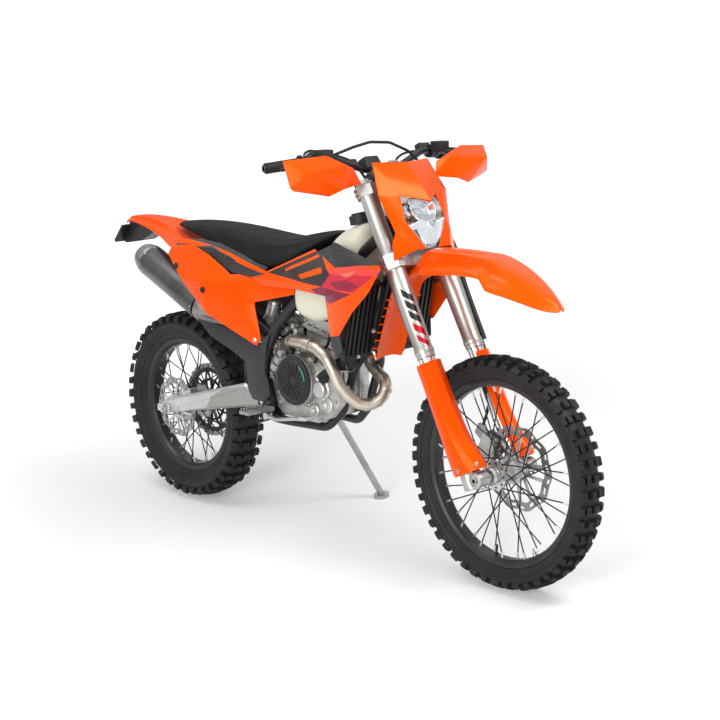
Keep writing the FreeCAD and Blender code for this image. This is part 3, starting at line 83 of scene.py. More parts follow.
def makeCamera():
    yaw, pitch = cameraFit["yaw"], cameraFit["pitch"]
    ahead = Vector((math.cos(pitch) * math.cos(yaw), math.cos(pitch) * math.sin(yaw), math.sin(pitch)))
    right = ahead.cross(Vector((0, 0, 1))).normalized()
    roll = Matrix.Rotation(cameraFit["roll"], 3, ahead)
    turn = Matrix((roll @ right, roll @ right.cross(ahead), -ahead)).transposed().to_4x4()
    data = bpy.data.cameras.new("photoCamera")
    data.lens = cameraFit["lens"]
    data.sensor_width = cameraFit["sensor"]
    data.clip_end = cameraFit["clip"]
    camera = addObject("photoCamera", data)
    camera.matrix_world = bikePlace @ Matrix.Translation(Vector(cameraFit["place"])) @ turn
    bpy.context.scene.camera = camera


makeCamera()


# Node trees
def fill(tree, socket, value):
    if isinstance(value, bpy.types.NodeSocket):
        tree.links.new(value, socket)
    else:
        socket.default_value = value


def addNode(tree, kind, output=None, settings=None, **inputs):
    made = tree.nodes.new(kind)
    for key, value in (settings or {}).items():
        setattr(made, key, value)
    for key, value in inputs.items():
        fill(tree, made.inputs[key.replace("_", " ")], value)
    return made if output is None else made.outputs[output]


def calc(tree, operation, *values):
    made = addNode(tree, "ShaderNodeMath", None, {"operation": operation})
    for socket, value in zip(made.inputs, values):
        fill(tree, socket, value)
    return made.outputs[0]


def blend(tree, factor, first, second):
    made = addNode(tree, "ShaderNodeMix", None, {"data_type": "RGBA"})
    for k, value in ((0, factor), (6, first), (7, second)):
        fill(tree, made.inputs[k], value)
    return made.outputs[2]


def rangeOf(tree, value, fromLow, fromHigh, toLow, toHigh, **settings):
    made = addNode(tree, "ShaderNodeMapRange", None, settings, Value=value)
    for label, limit in zip(("From Min", "From Max", "To Min", "To Max"), (fromLow, fromHigh, toLow, toHigh)):
        made.inputs[label].default_value = limit
    return made.outputs[0]


def rgb(value):
    return (*value, 1.0) if isinstance(value, tuple) else (value, value, value, 1.0)


def framed(tree, matrix):
    return addNode(tree, "ShaderNodeMapping", 0, {"vector_type": "TEXTURE"}, Rotation=matrix.to_euler(),
                   Location=matrix.to_translation(), Vector=addNode(tree, "ShaderNodeTexCoord", "Object"))


def noiseOf(tree, where, scale, detail=4.0, stretch=None):
    if stretch:
        where = addNode(tree, "ShaderNodeMapping", 0, Vector=where, Scale=stretch)
    return addNode(tree, "ShaderNodeTexNoise", "Fac", Vector=where, Scale=scale, Detail=detail)


def insideOf(tree, where, corners):
    inside = 1.0
    middle = sum((Vector(c) for c in corners), Vector((0, 0))) / len(corners)
    for (x, z), (nextX, nextZ) in zip(corners, corners[1:] + corners[:1]):
        normal = Vector((nextZ - z, x - nextX)).normalized()
        if normal.dot(middle - Vector((x, z))) < 0:
            normal = -normal
        side = addNode(tree, "ShaderNodeVectorMath", None, {"operation": "DOT_PRODUCT"})
        fill(tree, side.inputs[0], where)
        side.inputs[1].default_value = (normal.x, 0, normal.y)
        reach = (normal.x * x + normal.y * z) * 0.001
        inside = calc(tree, "MULTIPLY", inside, calc(tree, "GREATER_THAN", side.outputs["Value"], reach))
    return inside


# Artwork and painted shade: tint and corners, as (x, z) on the shroud and swingarm and (y, up) on the mask,
# and the fork's bars as tint, start and end up the leg in metres; the swingarm's patch is painted shade in
# its scoop
shroudArt = (
    ((0.036, 0.036, 0.040), ((628, 877), (868, 967), (948, 893), (905, 858), (800, 861))),
    ((0.20, 0.020, 0.055), ((800, 861), (905, 858), (1000, 880), (1078, 857), (960, 812), (868, 838))),
    ((0.62, 0.030, 0.060), ((905, 858), (948, 903), (1190, 926), (1078, 857))),
    ((0.86, 0.075, 0.055), ((930, 912), (966, 922), (1106, 939), (1218, 937), (1180, 918), (948, 900))),
    ((0.30, 0.024, 0.060), ((950, 876), (1040, 893), (1110, 880), (1060, 862), (985, 858))),
    ((0.80, 0.030, 0.030), ((868, 838), (960, 812), (925, 784), (900, 800))),
    ((0.95, 0.090, 0.001), ((712, 896), (716, 888), (872, 944), (868, 953))),
    ((0.95, 0.090, 0.001), ((780, 882), (800, 872), (905, 900), (893, 916))),
    ((0.90, 0.16, 0.12), ((1000, 905), (1090, 925), (1060, 905), (1030, 899))),
)
# Painted shade: a darker grey patch where the swingarm's scooped recess falls into shade
swingarmScoopShade = (((0.33, 0.325, 0.31), ((222, 374), (252, 414), (324, 450), (505, 492), (505, 425), (470, 404),
                                      (300, 382))),)
darkPrint, redPrint = (0.03, 0.03, 0.033), (0.42, 0.015, 0.03)
maskArt = ((darkPrint, ((127, 893), (133, 889), (133, 868), (127, 873))),
           (darkPrint, ((136, 885), (141, 881), (141, 858), (136, 863))))
forkBars = ((darkPrint, 0.567, 0.590), (darkPrint, 0.534, 0.557), (darkPrint, 0.501, 0.524),
            (redPrint, 0.462, 0.486), (redPrint, 0.430, 0.448))
forkPrintFrom, forkPrintTo, forkSlant = -0.007, 0.021, 0.95
printAhead, printAside = 0.68, 0.73
legAhead, legOut = 22, 103


def areaPainter(areas, frontal=False):
    def paint(tree, where, colour):
        if frontal:
            parts = addNode(tree, "ShaderNodeSeparateXYZ", Vector=where).outputs
            where = addNode(tree, "ShaderNodeCombineXYZ", 0, X=parts["Y"], Z=parts["Z"])
        for tint, corners in areas:
            colour = blend(tree, insideOf(tree, where, corners), colour, rgb(tint))
        return colour
    return paint


def paintFork(tree, where, colour):
    def c(operation, *values):
        return calc(tree, operation, *values)

    def between(value, low, high):
        return c("MULTIPLY", c("GREATER_THAN", value, low), c("LESS_THAN", value, high))

    parts = addNode(tree, "ShaderNodeSeparateXYZ", Vector=where).outputs
    ahead = c("SUBTRACT", parts["X"], legAhead * 0.001)
    out = c("SUBTRACT", c("ABSOLUTE", parts["Y"]), legOut * 0.001)
    across = c("SUBTRACT", c("MULTIPLY", ahead, printAhead), c("MULTIPLY", out, printAside))
    facing = c("ADD", c("MULTIPLY", ahead, printAside), c("MULTIPLY", out, printAhead))
    left = c("GREATER_THAN", parts["Y"], 0.0)
    across = c("MULTIPLY_ADD", left, c("SUBTRACT", ahead, across), across)
    facing = c("MULTIPLY_ADD", left, c("SUBTRACT", out, facing), facing)
    inside = c("MULTIPLY", c("GREATER_THAN", facing, 0.0), between(across, forkPrintFrom, forkPrintTo))
    level = c("MULTIPLY_ADD", across, forkSlant, parts["Z"])
    for tint, low, high in forkBars:
        colour = blend(tree, c("MULTIPLY", inside, between(level, low, high)), colour, rgb(tint))
    return colour


dimpleLook = {"stretch": 0.6, "edge": (0.22, 0.32, 1.0, 0.0), "strength": 0.9, "depth": 0.0015}
patchSpread, usualPatch, usualDepth = (0.32, 0.68, 0, 1), 14.0, 0.0004


def addDimples(tree, where, size, under):
    scale = (dimpleLook["stretch"] / size, 0.0, 1.0 / size)
    squeezed = addNode(tree, "ShaderNodeMapping", 0, Vector=where, Scale=scale)
    cells = addNode(tree, "ShaderNodeTexVoronoi", "Distance", {"voronoi_dimensions": "3D"}, Vector=squeezed,
                    Scale=1.0, Randomness=0.0)
    return addNode(tree, "ShaderNodeBump", 0, Height=rangeOf(tree, cells, *dimpleLook["edge"]), Normal=under,
                   Strength=dimpleLook["strength"], Distance=dimpleLook["depth"])


finishes, finishSlot = {}, {}


def finish(name, look, paint=None, body="chassis"):
    finishSlot[name], dark, light, rough, grainSize, bumpSize, metal, specular, *rest = look
    more = rest[0] if rest else {}
    material = bpy.data.materials.new(name)
    material.use_nodes = True
    tree = material.node_tree
    shader = tree.nodes["Principled BSDF"]
    where = framed(tree, places[body])
    spread = rangeOf(tree, noiseOf(tree, where, more.get("patch", usualPatch)), *patchSpread)
    colour = blend(tree, spread, rgb(dark), rgb(light))
    if paint:
        colour = paint(tree, where, colour)
    grain = noiseOf(tree, where, grainSize, 3.0, more.get("stretch"))
    bump = addNode(tree, "ShaderNodeBump", 0, Height=grain, Strength=bumpSize,
                   Distance=more.get("depth", usualDepth))
    if "dimples" in more:
        bump = addDimples(tree, where, more["dimples"], bump)
    given = {"Base Color": colour, "Roughness": rangeOf(tree, grain, 0, 1, *rough), "Normal": bump,
             "Metallic": metal, "Specular IOR Level": specular}
    given.update((key, value) for key, value in more.items() if key[0].isupper())
    for label, value in given.items():
        fill(tree, shader.inputs[label], value)
    finishes[name] = material


# Slot, darkest and lightest colour, roughness, grain, bump, metallic, specular level, and the rest by name
warmShine = {"patch": 4, "Specular Tint": (1.0, 0.42, 0.14, 1)}
looks = {
    "orangePlastic": ("orange_plastic", (0.92, 0.070, 0.0), (1.0, 0.088, 0.0), (0.18, 0.26), 700, 0.05, 0,
                      0.42, warmShine),
    "tailPlastic": ("orange_plastic", (0.90, 0.068, 0.0), (1.0, 0.086, 0.0), (0.26, 0.34), 700, 0.05, 0, 0.05,
                    warmShine),
    "blackPlastic": ("black_plastic", (0.010, 0.010, 0.011), (0.020, 0.020, 0.021), (0.42, 0.60), 1400, 0.30,
                     0, 0.35, {"depth": 0.0003}),
    "dimpledPlastic": ("black_plastic", (0.016, 0.016, 0.017), (0.028, 0.028, 0.029), (0.36, 0.50), 1400,
                       0.20, 0, 0.40, {"depth": 0.0003, "dimples": 0.012}),
    "blackPaint": ("black_metal", (0.010, 0.010, 0.011), (0.017, 0.017, 0.018), (0.26, 0.38), 900, 0.10, 0,
                   0.35),
    "blackAlloy": ("black_metal", (0.010, 0.010, 0.011), (0.018, 0.018, 0.020), (0.30, 0.42), 600, 0.08, 0,
                   0.4),
    "tyreRubber": ("tyre_rubber", (0.007, 0.007, 0.0072), (0.017, 0.017, 0.0175), (0.44, 0.62), 500, 0.25, 0,
                   0.28, {"depth": 0.0006}),
    "gripRubber": ("rubber", 0.009, 0.016, (0.55, 0.75), 700, 0.25, 0, 0.3),
    "castAlloy": ("silver_metal", (0.36, 0.355, 0.34), (0.56, 0.55, 0.53), (0.28, 0.46), 520, 0.55, 0.85, 0.5,
                  {"depth": 0.0006}),
    "smoothAlloy": ("silver_metal", (0.48, 0.475, 0.465), (0.58, 0.575, 0.565), (0.30, 0.42), 300, 0.10,
                    0.85, 0.5, {"stretch": (1, 1, 6)}),
    "forkAlloy": ("silver_metal", (0.38, 0.365, 0.345), (0.46, 0.445, 0.42), (0.34, 0.42), 500, 0.04, 0.9,
                  0.5),
    "chrome": ("silver_metal", (0.68, 0.68, 0.69), (0.78, 0.78, 0.79), (0.06, 0.11), 900, 0.02, 1.0, 0.5),
    "steel": ("steel", 0.30, 0.44, (0.26, 0.42), 500, 0.10, 0.95, 0.5),
    "brightSteel": ("steel", 0.58, 0.70, (0.22, 0.34), 500, 0.06, 0.8, 0.5),
    "headerSteel": ("steel", (0.36, 0.31, 0.25), (0.54, 0.49, 0.415), (0.30, 0.40), 420, 0.08, 0.92, 0.5,
                    {"patch": 9}),
    "silencerMetal": ("dark_metal", (0.070, 0.070, 0.072), (0.115, 0.115, 0.118), (0.28, 0.40), 800, 0.12,
                      0.8, 0.5),
    "capMetal": ("dark_metal", (0.20, 0.19, 0.175), (0.29, 0.275, 0.255), (0.28, 0.40), 700, 0.10, 0.85, 0.5),
    "tankPlastic": ("white_plastic", (0.64, 0.63, 0.49), (0.72, 0.71, 0.58), (0.30, 0.42), 700, 0.06, 0, 0.5,
                    {"Subsurface Weight": 0.3, "Subsurface Scale": 0.02}),
    "seatCover": ("seat_cover", (0.007, 0.007, 0.0075), (0.012, 0.012, 0.0125), (0.52, 0.68), 1600, 0.35, 0,
                  0.10, {"depth": 0.0004, "dimples": 0.007}),
    "discSteel": ("steel", 0.24, 0.34, (0.28, 0.42), 500, 0.12, 0.95, 0.5),
    "labelPaint": ("black_plastic", (0.02, 0.22, 0.19), (0.04, 0.30, 0.26), (0.3, 0.4), 700, 0.05, 0, 0.5),
    "springPaint": ("white_plastic", 0.70, 0.80, (0.3, 0.4), 500, 0.06, 0, 0.5),
    "bronzeBolt": ("silver_metal", (0.30, 0.17, 0.07), (0.42, 0.25, 0.11), (0.25, 0.4), 600, 0.1, 0.9, 0.5),
    "lampGlass": ("lens", (0.93, 0.95, 0.96), (0.98, 0.99, 1.0), (0.01, 0.03), 40, 0.15, 0, 0.5,
                  {"depth": 0.001, "Transmission Weight": 1.0, "IOR": 1.3}),
    "lampSilver": ("silver_metal", (0.70, 0.71, 0.72), (0.88, 0.88, 0.89), (0.04, 0.12), 90, 0.15, 1.0, 0.5,
                   {"depth": 0.001}),
    "lampRed": ("lens", (0.30, 0.004, 0.004), (0.42, 0.008, 0.006), (0.12, 0.2), 300, 0.2, 0, 0.5),
}
for finishName, look in looks.items():
    finish(finishName, look, None, "front_wheel" if finishName == "discSteel" else "chassis")
finish("shroudPrint", looks["orangePlastic"], areaPainter(shroudArt))
# The swingarm's finish carries the painted shade of its scoop
finish("swingarmAlloyScoopShade", looks["smoothAlloy"], areaPainter(swingarmScoopShade))
finish("maskPrint", looks["orangePlastic"], areaPainter(maskArt, True), "steering")
finish("forkPrint", looks["forkAlloy"], paintFork, "steering")
print("finishes made:", len(finishes))

nodeFinish = {
    "orangePlastic": "shrouds side_panels rear_fender front_fender headlight_mask handguards fork_guards",
    "blackPaint": "main_frame subframe chain_guide tail_unit",
    "blackPlastic": "fuel_cap airbox engine_covers hand_controls radiators",
    "dimpledPlastic": "frame_guards shroud_covers",
    "blackAlloy": "front_rim rear_rim handlebar rear_sprocket",
    "tyreRubber": "front_tyre rear_tyre",
    "gripRubber": "grips coolant_hoses front_brake_hose",
    "castAlloy": "crankcase cylinder_head front_caliper rear_caliper fork_inner_tubes",
    "swingarmAlloyScoopShade": "swingarm",
    "smoothAlloy": "triple_clamps front_hub rear_hub foot_controls",
    "forkAlloy": "fork_outer_tubes",
    "steel": "front_axle rear_axle side_stand footpegs front_sprocket chain rear_shock",
    "discSteel": "front_disc rear_disc",
    "headerSteel": "exhaust_header",
    "silencerMetal": "silencer",
    "tankPlastic": "fuel_tank",
    "seatCover": "seat",
    "lampSilver": "headlamp",
}
for finishName, names in nodeFinish.items():
    for name in names.split():
        for slotPlace in nodes[name].material_slots:
            slotPlace.material = finishes[finishName]


# Meshes
mergeDistance, plasticWall = 0.00002, 3.5


def gridFaces(rows, columns, closed=False, looped=False):
    return [(r * columns + c, r * columns + (c + 1) % columns, (r + 1) % rows * columns + (c + 1) % columns,
             (r + 1) % rows * columns + c)
            for r in range(rows if looped else rows - 1) for c in range(columns if closed else columns - 1)]


def tubeFaces(rows, columns):
    count = rows * columns
    return gridFaces(rows, columns, True) + [tuple(range(columns)), tuple(range(count - columns, count))]


def joined(parts):
    points, faces = [], []
    for more, wings in parts:
        base = len(points)
        points += more
        faces += [tuple(base + i for i in face) for face in wings]
    return points, faces


def smoothBelow(mesh, limitDeg):
    mesh.shade_smooth()
    mesh.set_sharp_from_angle(angle=math.radians(limitDeg))


def meshPiece(name, body, finishName, points, faces, smoothDeg=60):
    mesh = bpy.data.meshes.new(name)
    mesh.from_pydata([tuple(spot(body, *p)) for p in points], [], faces)
    work = bmesh.new()
    work.from_mesh(mesh)
    bmesh.ops.remove_doubles(work, verts=work.verts, dist=mergeDistance)
    bmesh.ops.recalc_face_normals(work, faces=work.faces)
    work.to_mesh(mesh)
    work.free()
    smoothBelow(mesh, smoothDeg)
    mesh.materials.append(finishes[finishName])
    return addObject(name, mesh)


def addModifier(piece, kind, **settings):
    made = piece.modifiers.new(kind.lower(), kind)
    for key, value in settings.items():
        setattr(made, key, value)
    return made


def addWall(piece, thickness, offset=-1):
    addModifier(piece, "SOLIDIFY", thickness=thickness * 0.001, offset=offset)


def addBevel(piece, width, limitDeg):
    addModifier(piece, "BEVEL", width=width * 0.001, segments=3, limit_method="ANGLE",
                angle_limit=math.radians(limitDeg), harden_normals=False)


def addSubdivision(piece):
    addModifier(piece, "SUBSURF", levels=2, render_levels=2)


def bake(piece, smoothDeg=None):
    bpy.context.view_layer.update()
    mesh = bpy.data.meshes.new_from_object(piece.evaluated_get(bpy.context.evaluated_depsgraph_get()))
    piece.modifiers.clear()
    piece.data = mesh
    if smoothDeg:
        smoothBelow(mesh, smoothDeg)
    return piece


def stand(piece, body, replaced=None):
    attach(piece, body)
    if replaced in nodes:
        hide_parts(replaced)
    return piece


def crease(piece, columns, amount, alongColumns=(), acrossRows=(), spared=()):
    layers = piece.data.attributes
    layer = layers.get("crease_edge") or layers.new("crease_edge", "FLOAT", "EDGE")
    for edge in piece.data.edges:
        a, b = sorted(edge.vertices)
        along = a % columns == b % columns and a % columns in alongColumns
        across = a // columns == b // columns and a // columns in acrossRows and a % columns not in spared
        if along or across:
            layer.data[edge.index].value = amount


def faceOutwards(piece, wayAt):
    if sum(wayAt(p.center).dot(p.normal) * p.area for p in piece.data.polygons) < 0:
        piece.data.flip_normals()


# Repeats: copies round an axle, fittings at points, and wires along edges
def makeTree(name, inputs, build):
    tree = bpy.data.node_groups.new(name, "GeometryNodeTree")
    for label, kind in (("Geometry", "Geometry"), *inputs, ("Finish", "Material")):
        tree.interface.new_socket(label, in_out="INPUT", socket_type="NodeSocket" + kind)
    tree.interface.new_socket("Geometry", in_out="OUTPUT", socket_type="NodeSocketGeometry")
    given = tree.nodes.new("NodeGroupInput").outputs
    real = addNode(tree, "GeometryNodeRealizeInstances", 0, Geometry=build(tree, given))
    made = addNode(tree, "GeometryNodeSetMaterial", 0, Geometry=real, Material=given["Finish"])
    tree.links.new(made, tree.nodes.new("NodeGroupOutput").inputs["Geometry"])
    return tree


def repeatRound(tree, given):
    points = addNode(tree, "GeometryNodePoints", 0, Count=given["Count"])
    step = calc(tree, "DIVIDE", 2 * math.pi, given["Count"])
    angle = calc(tree, "MULTIPLY", addNode(tree, "GeometryNodeInputIndex", 0), step)
    turn = addNode(tree, "FunctionNodeAxisAngleToRotation", 0, Axis=(0, 1, 0), Angle=angle)
    return addNode(tree, "GeometryNodeInstanceOnPoints", 0, Points=points, Instance=given["Geometry"],
                   Rotation=turn)


def namedValue(tree, name, kind):
    found = addNode(tree, "GeometryNodeInputNamedAttribute", None, {"data_type": kind}, Name=name)
    return next(socket for socket in found.outputs if socket.enabled)


def placeFittings(tree, given):
    fitting = addNode(tree, "GeometryNodeObjectInfo", "Geometry", Object=given["Fitting"])
    turn = addNode(tree, "FunctionNodeAlignRotationToVector", 0, {"axis": "Z"},
                   Vector=namedValue(tree, "axis", "FLOAT_VECTOR"))
    return addNode(tree, "GeometryNodeInstanceOnPoints", 0, Points=given["Geometry"], Instance=fitting,
                   Rotation=turn, Scale=namedValue(tree, "size", "FLOAT"))


def drawWires(tree, given):
    ring = addNode(tree, "GeometryNodeCurvePrimitiveCircle", 0, Resolution=given["Sides"],
                   Radius=given["Radius"])
    return addNode(tree, "GeometryNodeCurveToMesh", 0, Profile_Curve=ring, Fill_Caps=True,
                   Curve=addNode(tree, "GeometryNodeMeshToCurve", 0, Mesh=given["Geometry"]))


ringTree = makeTree("repeatRoundAxle", [("Count", "Int")], repeatRound)
fittingTree = makeTree("placeFittings", [("Fitting", "Object")], placeFittings)
wireTree = makeTree("wiresAlongEdges", [("Radius", "Float"), ("Sides", "Int")], drawWires)


def runTree(piece, tree, finishName, smoothDeg, **values):
    modifier = piece.modifiers.new(tree.name, "NODES")
    modifier.node_group = tree
    values["Finish"] = finishes[finishName]
    for item in tree.interface.items_tree:
        if item.item_type == "SOCKET" and item.in_out == "INPUT" and item.name in values:
            modifier[item.identifier] = values[item.name]
    return bake(piece, smoothDeg)


def smoothThrough(points, steps):
    result = []
    points = [Vector(p) for p in points]
    for k, (start, end) in enumerate(zip(points, points[1:])):
        before = points[max(k - 1, 0)]
        after = points[min(k + 2, len(points) - 1)]
        for t in (s / steps for s in range(steps)):
            curve = 2 * before - 5 * start + 4 * end - after
            result.append(0.5 * (2 * start + (end - before) * t + curve * t * t
                                 + (3 * start - before - 3 * end + after) * t ** 3))
    return result + points[-1:]


def turned(centre, axis, profile, sides=40, closed=False):
    axis = Vector(axis).normalized()
    across = axis.orthogonal().normalized()
    upward = axis.cross(across)
    points = [Vector(centre) + axis * a + (across * math.cos(t) + upward * math.sin(t)) * r
              for t in turnsOf(sides) for a, r in profile]
    return points, gridFaces(sides, len(profile), closed, True)


def turnedPiece(name, body, finishName, parts, sides=40, replaced=None, smoothDeg=35):
    points, faces = joined(turned(*part, sides) for part in parts)
    return stand(meshPiece(name, body, finishName, points, faces, smoothDeg), body, replaced)


# Fittings of size one: (along, radius) rings and how many sides
fittings = {
    "flangeBolt": [([(0, 0), (0, 1), (0.2, 1), (0.26, 0.9), (0.26, 0)], 16),
                   ([(0.2, 0), (0.2, 0.72), (0.78, 0.72), (0.88, 0.6), (0.88, 0.42), (0.7, 0.36),
                     (0.7, 0)], 6)],
    "capScrew": [([(0, 0), (0, 1), (0.8, 1), (0.92, 0.88), (0.92, 0.5), (0.45, 0.45), (0.45, 0)], 14)],
    "rivet": [([(0, 0), (0, 1), (0.14, 1), (0.4, 0.72), (0.5, 0)], 10)],
    "band": [([(-0.22, 0.94), (-0.22, 1.06), (0.22, 1.06), (0.22, 0.94)], 24)],
}


def pathPiece(name, points, edges=()):
    mesh = bpy.data.meshes.new(name)
    mesh.from_pydata([tuple(p) for p in points], edges, [])
    return addObject(name, mesh)


def scatter(name, body, finishName, kind, spots):
    piece = pathPiece(name, [spot(body, *where) for where, way, size in spots])
    turn = places[body].to_3x3()
    layers = piece.data.attributes
    ways = [part for where, way, size in spots for part in (turn @ Vector(way)).normalized()]
    layers.new("axis", "FLOAT_VECTOR", "POINT").data.foreach_set("vector", ways)
    sizes = [size * 0.001 for where, way, size in spots]
    layers.new("size", "FLOAT", "POINT").data.foreach_set("value", sizes)
    parts = [turned((0, 0, 0), (0, 0, 1), profile, sides) for profile, sides in fittings[kind]]
    shape = meshPiece(kind, "unit", "steel", *joined(parts), 35)
    runTree(piece, fittingTree, finishName, None, Fitting=shape)
    bpy.data.objects.remove(shape)
    return stand(piece, body)


def wires(name, body, finishName, radius, runs, sides=8, steps=1):
    points, edges = [], []
    for run in runs:
        path = smoothThrough(run, steps)
        edges += [(len(points) + k, len(points) + k + 1) for k in range(len(path) - 1)]
        points += [spot(body, *p) for p in path]
    piece = pathPiece(name, points, edges)
    runTree(piece, wireTree, finishName, 50, Radius=radius * 0.001, Sides=sides)
    return stand(piece, body, None)


# Tyres: half width, bead and tip radius, the rim's half width, and how often the tread repeats
tyreLook = {
    "front": {"half": 46.0, "lip": 277.0, "tip": 345.8, "rimHalf": 25.0, "pitches": 24},
    "rear": {"half": 64.0, "lip": 239.0, "tip": 333.9, "rimHalf": 33.0, "pitches": 20},
}
lugHeight = 14.0
axleEnd, alongAxle = (0, 0, 0), (0, 1, 0)


def lug(y, radius, tiltDeg, wide, long, high, turnBy):
    tilt = math.radians(tiltDeg)
    out = Vector((0, math.sin(tilt), math.cos(tilt)))
    across = Vector((0, math.cos(tilt), -math.sin(tilt)))
    turn = Matrix.Rotation(turnBy, 3, "Y")
    # Rings from the foot up to the sunken top, as share of the size and lift
    rings = ((1.15, -3.0), (1.0, high - 1.0), (0.88, high), (0.55, high), (0.45, high - 1.4))
    points = [turn @ (Vector((b * long / 2 * scale, y, radius)) + across * (a * wide / 2 * scale)
                      + out * lift)
              for scale, lift in rings for a, b in ((-1, -1), (1, -1), (1, 1), (-1, 1))]
    return points, tubeFaces(len(rings), 4)[:-2] + tubeFaces(len(rings), 4)[-1:]


def makeTyre(which):
    body, look = which + "_wheel", tyreLook[which]
    half, lip, pitches, foot = look["half"], look["lip"], look["pitches"], look["rimHalf"]
    root = look["tip"] - lugHeight
    tall, width = root - lip, half / tyreLook["front"]["half"]
    outline = [(foot - 3, lip - 7), (foot - 3, lip + 1), (foot + 2, lip + 3), (half - 15, lip + tall * 0.36),
               (half - 7, lip + tall * 0.56), (half - 8.5, lip + tall * 0.76), (half * 0.54, root - 4),
               (half * 0.27, root - 0.8), (0, root)]
    side = [tuple(p[:2]) for p in smoothThrough([(y, r, 0) for y, r in outline], 5)]
    profile = side + [(-y, r) for y, r in reversed(side[:-1])]
    points, faces = turned(axleEnd, alongAxle, profile, 120, True)
    carcass = meshPiece(which + "Carcass", body, "tyreRubber", points, faces, 50)
    # Lugs of one repeat: across, radius, tilt, width, length, height and place in the repeat
    lugs = [(11 * width, root - 0.6, 6, 17 * width, 21, lugHeight - 0.2, 0.0),
            (0, root - 0.2, 0, 19 * width, 19, lugHeight - 0.2, 0.5),
            (23.5 * width, root - 3.2, 22, 13 * width, 21, lugHeight - 1.5, 0.5),
            (half - 11.5, root - 8.5, 52, 15 * width, 25, lugHeight - 2.5, 0.02),
            (half - 10.5, root - 9.5, 56, 13 * width, 19, lugHeight - 2.5, 0.52)]
    parts = [lug(s * y, radius, s * tilt, wide, long, high, 2 * math.pi * phase / pitches)
             for y, radius, tilt, wide, long, high, phase in lugs for s in ((1, -1) if y else (1,))]
    tread = meshPiece(which + "Tread", "origin", "tyreRubber", *joined(parts), 30)
    runTree(tread, ringTree, "tyreRubber", 30, Count=pitches)
    tread.data.transform(places[body])
    rings = []
    for s in (-1, 1):
        for share, out in ((0.30, 17.5), (0.50, 9.6)):
            y, r = s * (half - out), lip + tall * share
            rings.append((axleEnd, alongAxle, [(y - 1.4 * s, r - 2.4), (y + 1.3 * s, r - 1.2),
                                               (y + 1.5 * s, r + 1.0), (y - 0.6 * s, r + 2.4)]))
    turnedPiece(which + "WallRings", body, "tyreRubber", rings, 96)
    stand(carcass, body, which + "_tyre")
    stand(tread, body, which + "_tyre")


makeTyre("front")
makeTyre("rear")
print("tyres made")

# Hubs, spokes and discs: radii and places along the axle, and the hub's profile as (along the axle, radius)
hubLook = {
    "front": {"rim": 254.7, "foot": 36, "flange": 36, "disc": 62, "outer": 129, "inner": 100, "hole": 23,
              "profile": [(-64, 13), (-64, 22), (-58, 26), (-50, 26), (-46, 22), (-41, 24), (-40, 43),
                          (-33, 43), (-31, 31), (-20, 23), (20, 23), (31, 31), (33, 43), (40, 43), (41, 30),
                          (48, 30), (56, 34), (59.6, 34), (59.6, 13)]},
    "rear": {"rim": 216.7, "foot": 54, "flange": 42, "disc": -74, "outer": 109, "inner": 84, "hole": 28,
             "profile": [(-81, 13), (-81, 23), (-74, 26), (-71.6, 26), (-71.6, 44), (-64, 44), (-58, 34),
                         (-47, 34), (-46, 60), (-38, 60), (-34, 40), (-20, 29), (20, 29), (34, 40), (38, 60),
                         (46, 60), (47, 38), (60, 44), (74.6, 44), (74.6, 26), (81, 24), (81, 13)]},
}
sprocketLook = {"y": 78, "thick": 5, "teeth": 50, "root": 117, "seat": 30, "middle": 74, "arms": 9}
spokeLook = {"count": 36, "crossDeg": 68, "radius": 2.1, "nippleRadius": 3.6, "nippleLength": 19}
hubWave = {"count": 18, "share": 0.045}
discWave = {"count": 10, "height": 3, "steps": 24}
discSlots = (((2, 3), 3, 9), ((3, 4), 15, 19))


def flatRing(y, low, high, count, wave=0, teeth=0):
    points = [around(r, t, y) for t in turnsOf(count) for r in (low, high + wave * math.cos(teeth * t))]
    return points, gridFaces(count, 2, False, True)


def flatArm(y, stations):
    points = [around(r, t, y, s * half) for r, t, half in stations for s in (-1, 1)]
    return points, gridFaces(len(stations), 2)


def wheelPlate(name, body, finishName, parts, thickness, replaced):
    piece = meshPiece(name, body, finishName, *joined(parts), 30)
    addWall(piece, thickness, 0)
    stand(bake(piece, 30), body, replaced)


def makeHub(which):
    body, look = which + "_wheel", hubLook[which]
    points, faces = turned(axleEnd, alongAxle, look["profile"], 72, True)
    for p in points:
        if math.hypot(p.x, p.z) > look["foot"] + 4:
            wave = 1 + hubWave["share"] * math.cos(hubWave["count"] * math.atan2(p.z, p.x))
            p.x, p.z = p.x * wave, p.z * wave
    hub = meshPiece(which + "HubBody", body, "smoothAlloy", points, faces, 30)
    stand(hub, body, which + "_hub")
    runs, ends, heads = [], [], []
    cross = math.radians(spokeLook["crossDeg"])
    for k, angle in enumerate(turnsOf(spokeLook["count"])):
        side = 1 if k % 2 == 0 else -1
        way = 1 if k // 2 % 2 == 0 else -1
        inner = around(look["foot"], angle + way * cross, side * look["flange"])
        outer = around(look["rim"], angle, side * 8)
        along = (outer - inner).normalized()
        runs.append([inner, outer - along * 4])
        ends.append([outer - along * spokeLook["nippleLength"], outer + along * 2])
        heads.append((inner + Vector((0, side * 4, 0)), (0, side, 0), 3.4))
    wires(which + "Spokes", body, "blackPaint", spokeLook["radius"], runs, 7)
    wires(which + "Nipples", body, "brightSteel", spokeLook["nippleRadius"], ends)
    scatter(which + "SpokeHeads", body, "blackPaint", "rivet", heads)
    makeDisc(which, body, look)


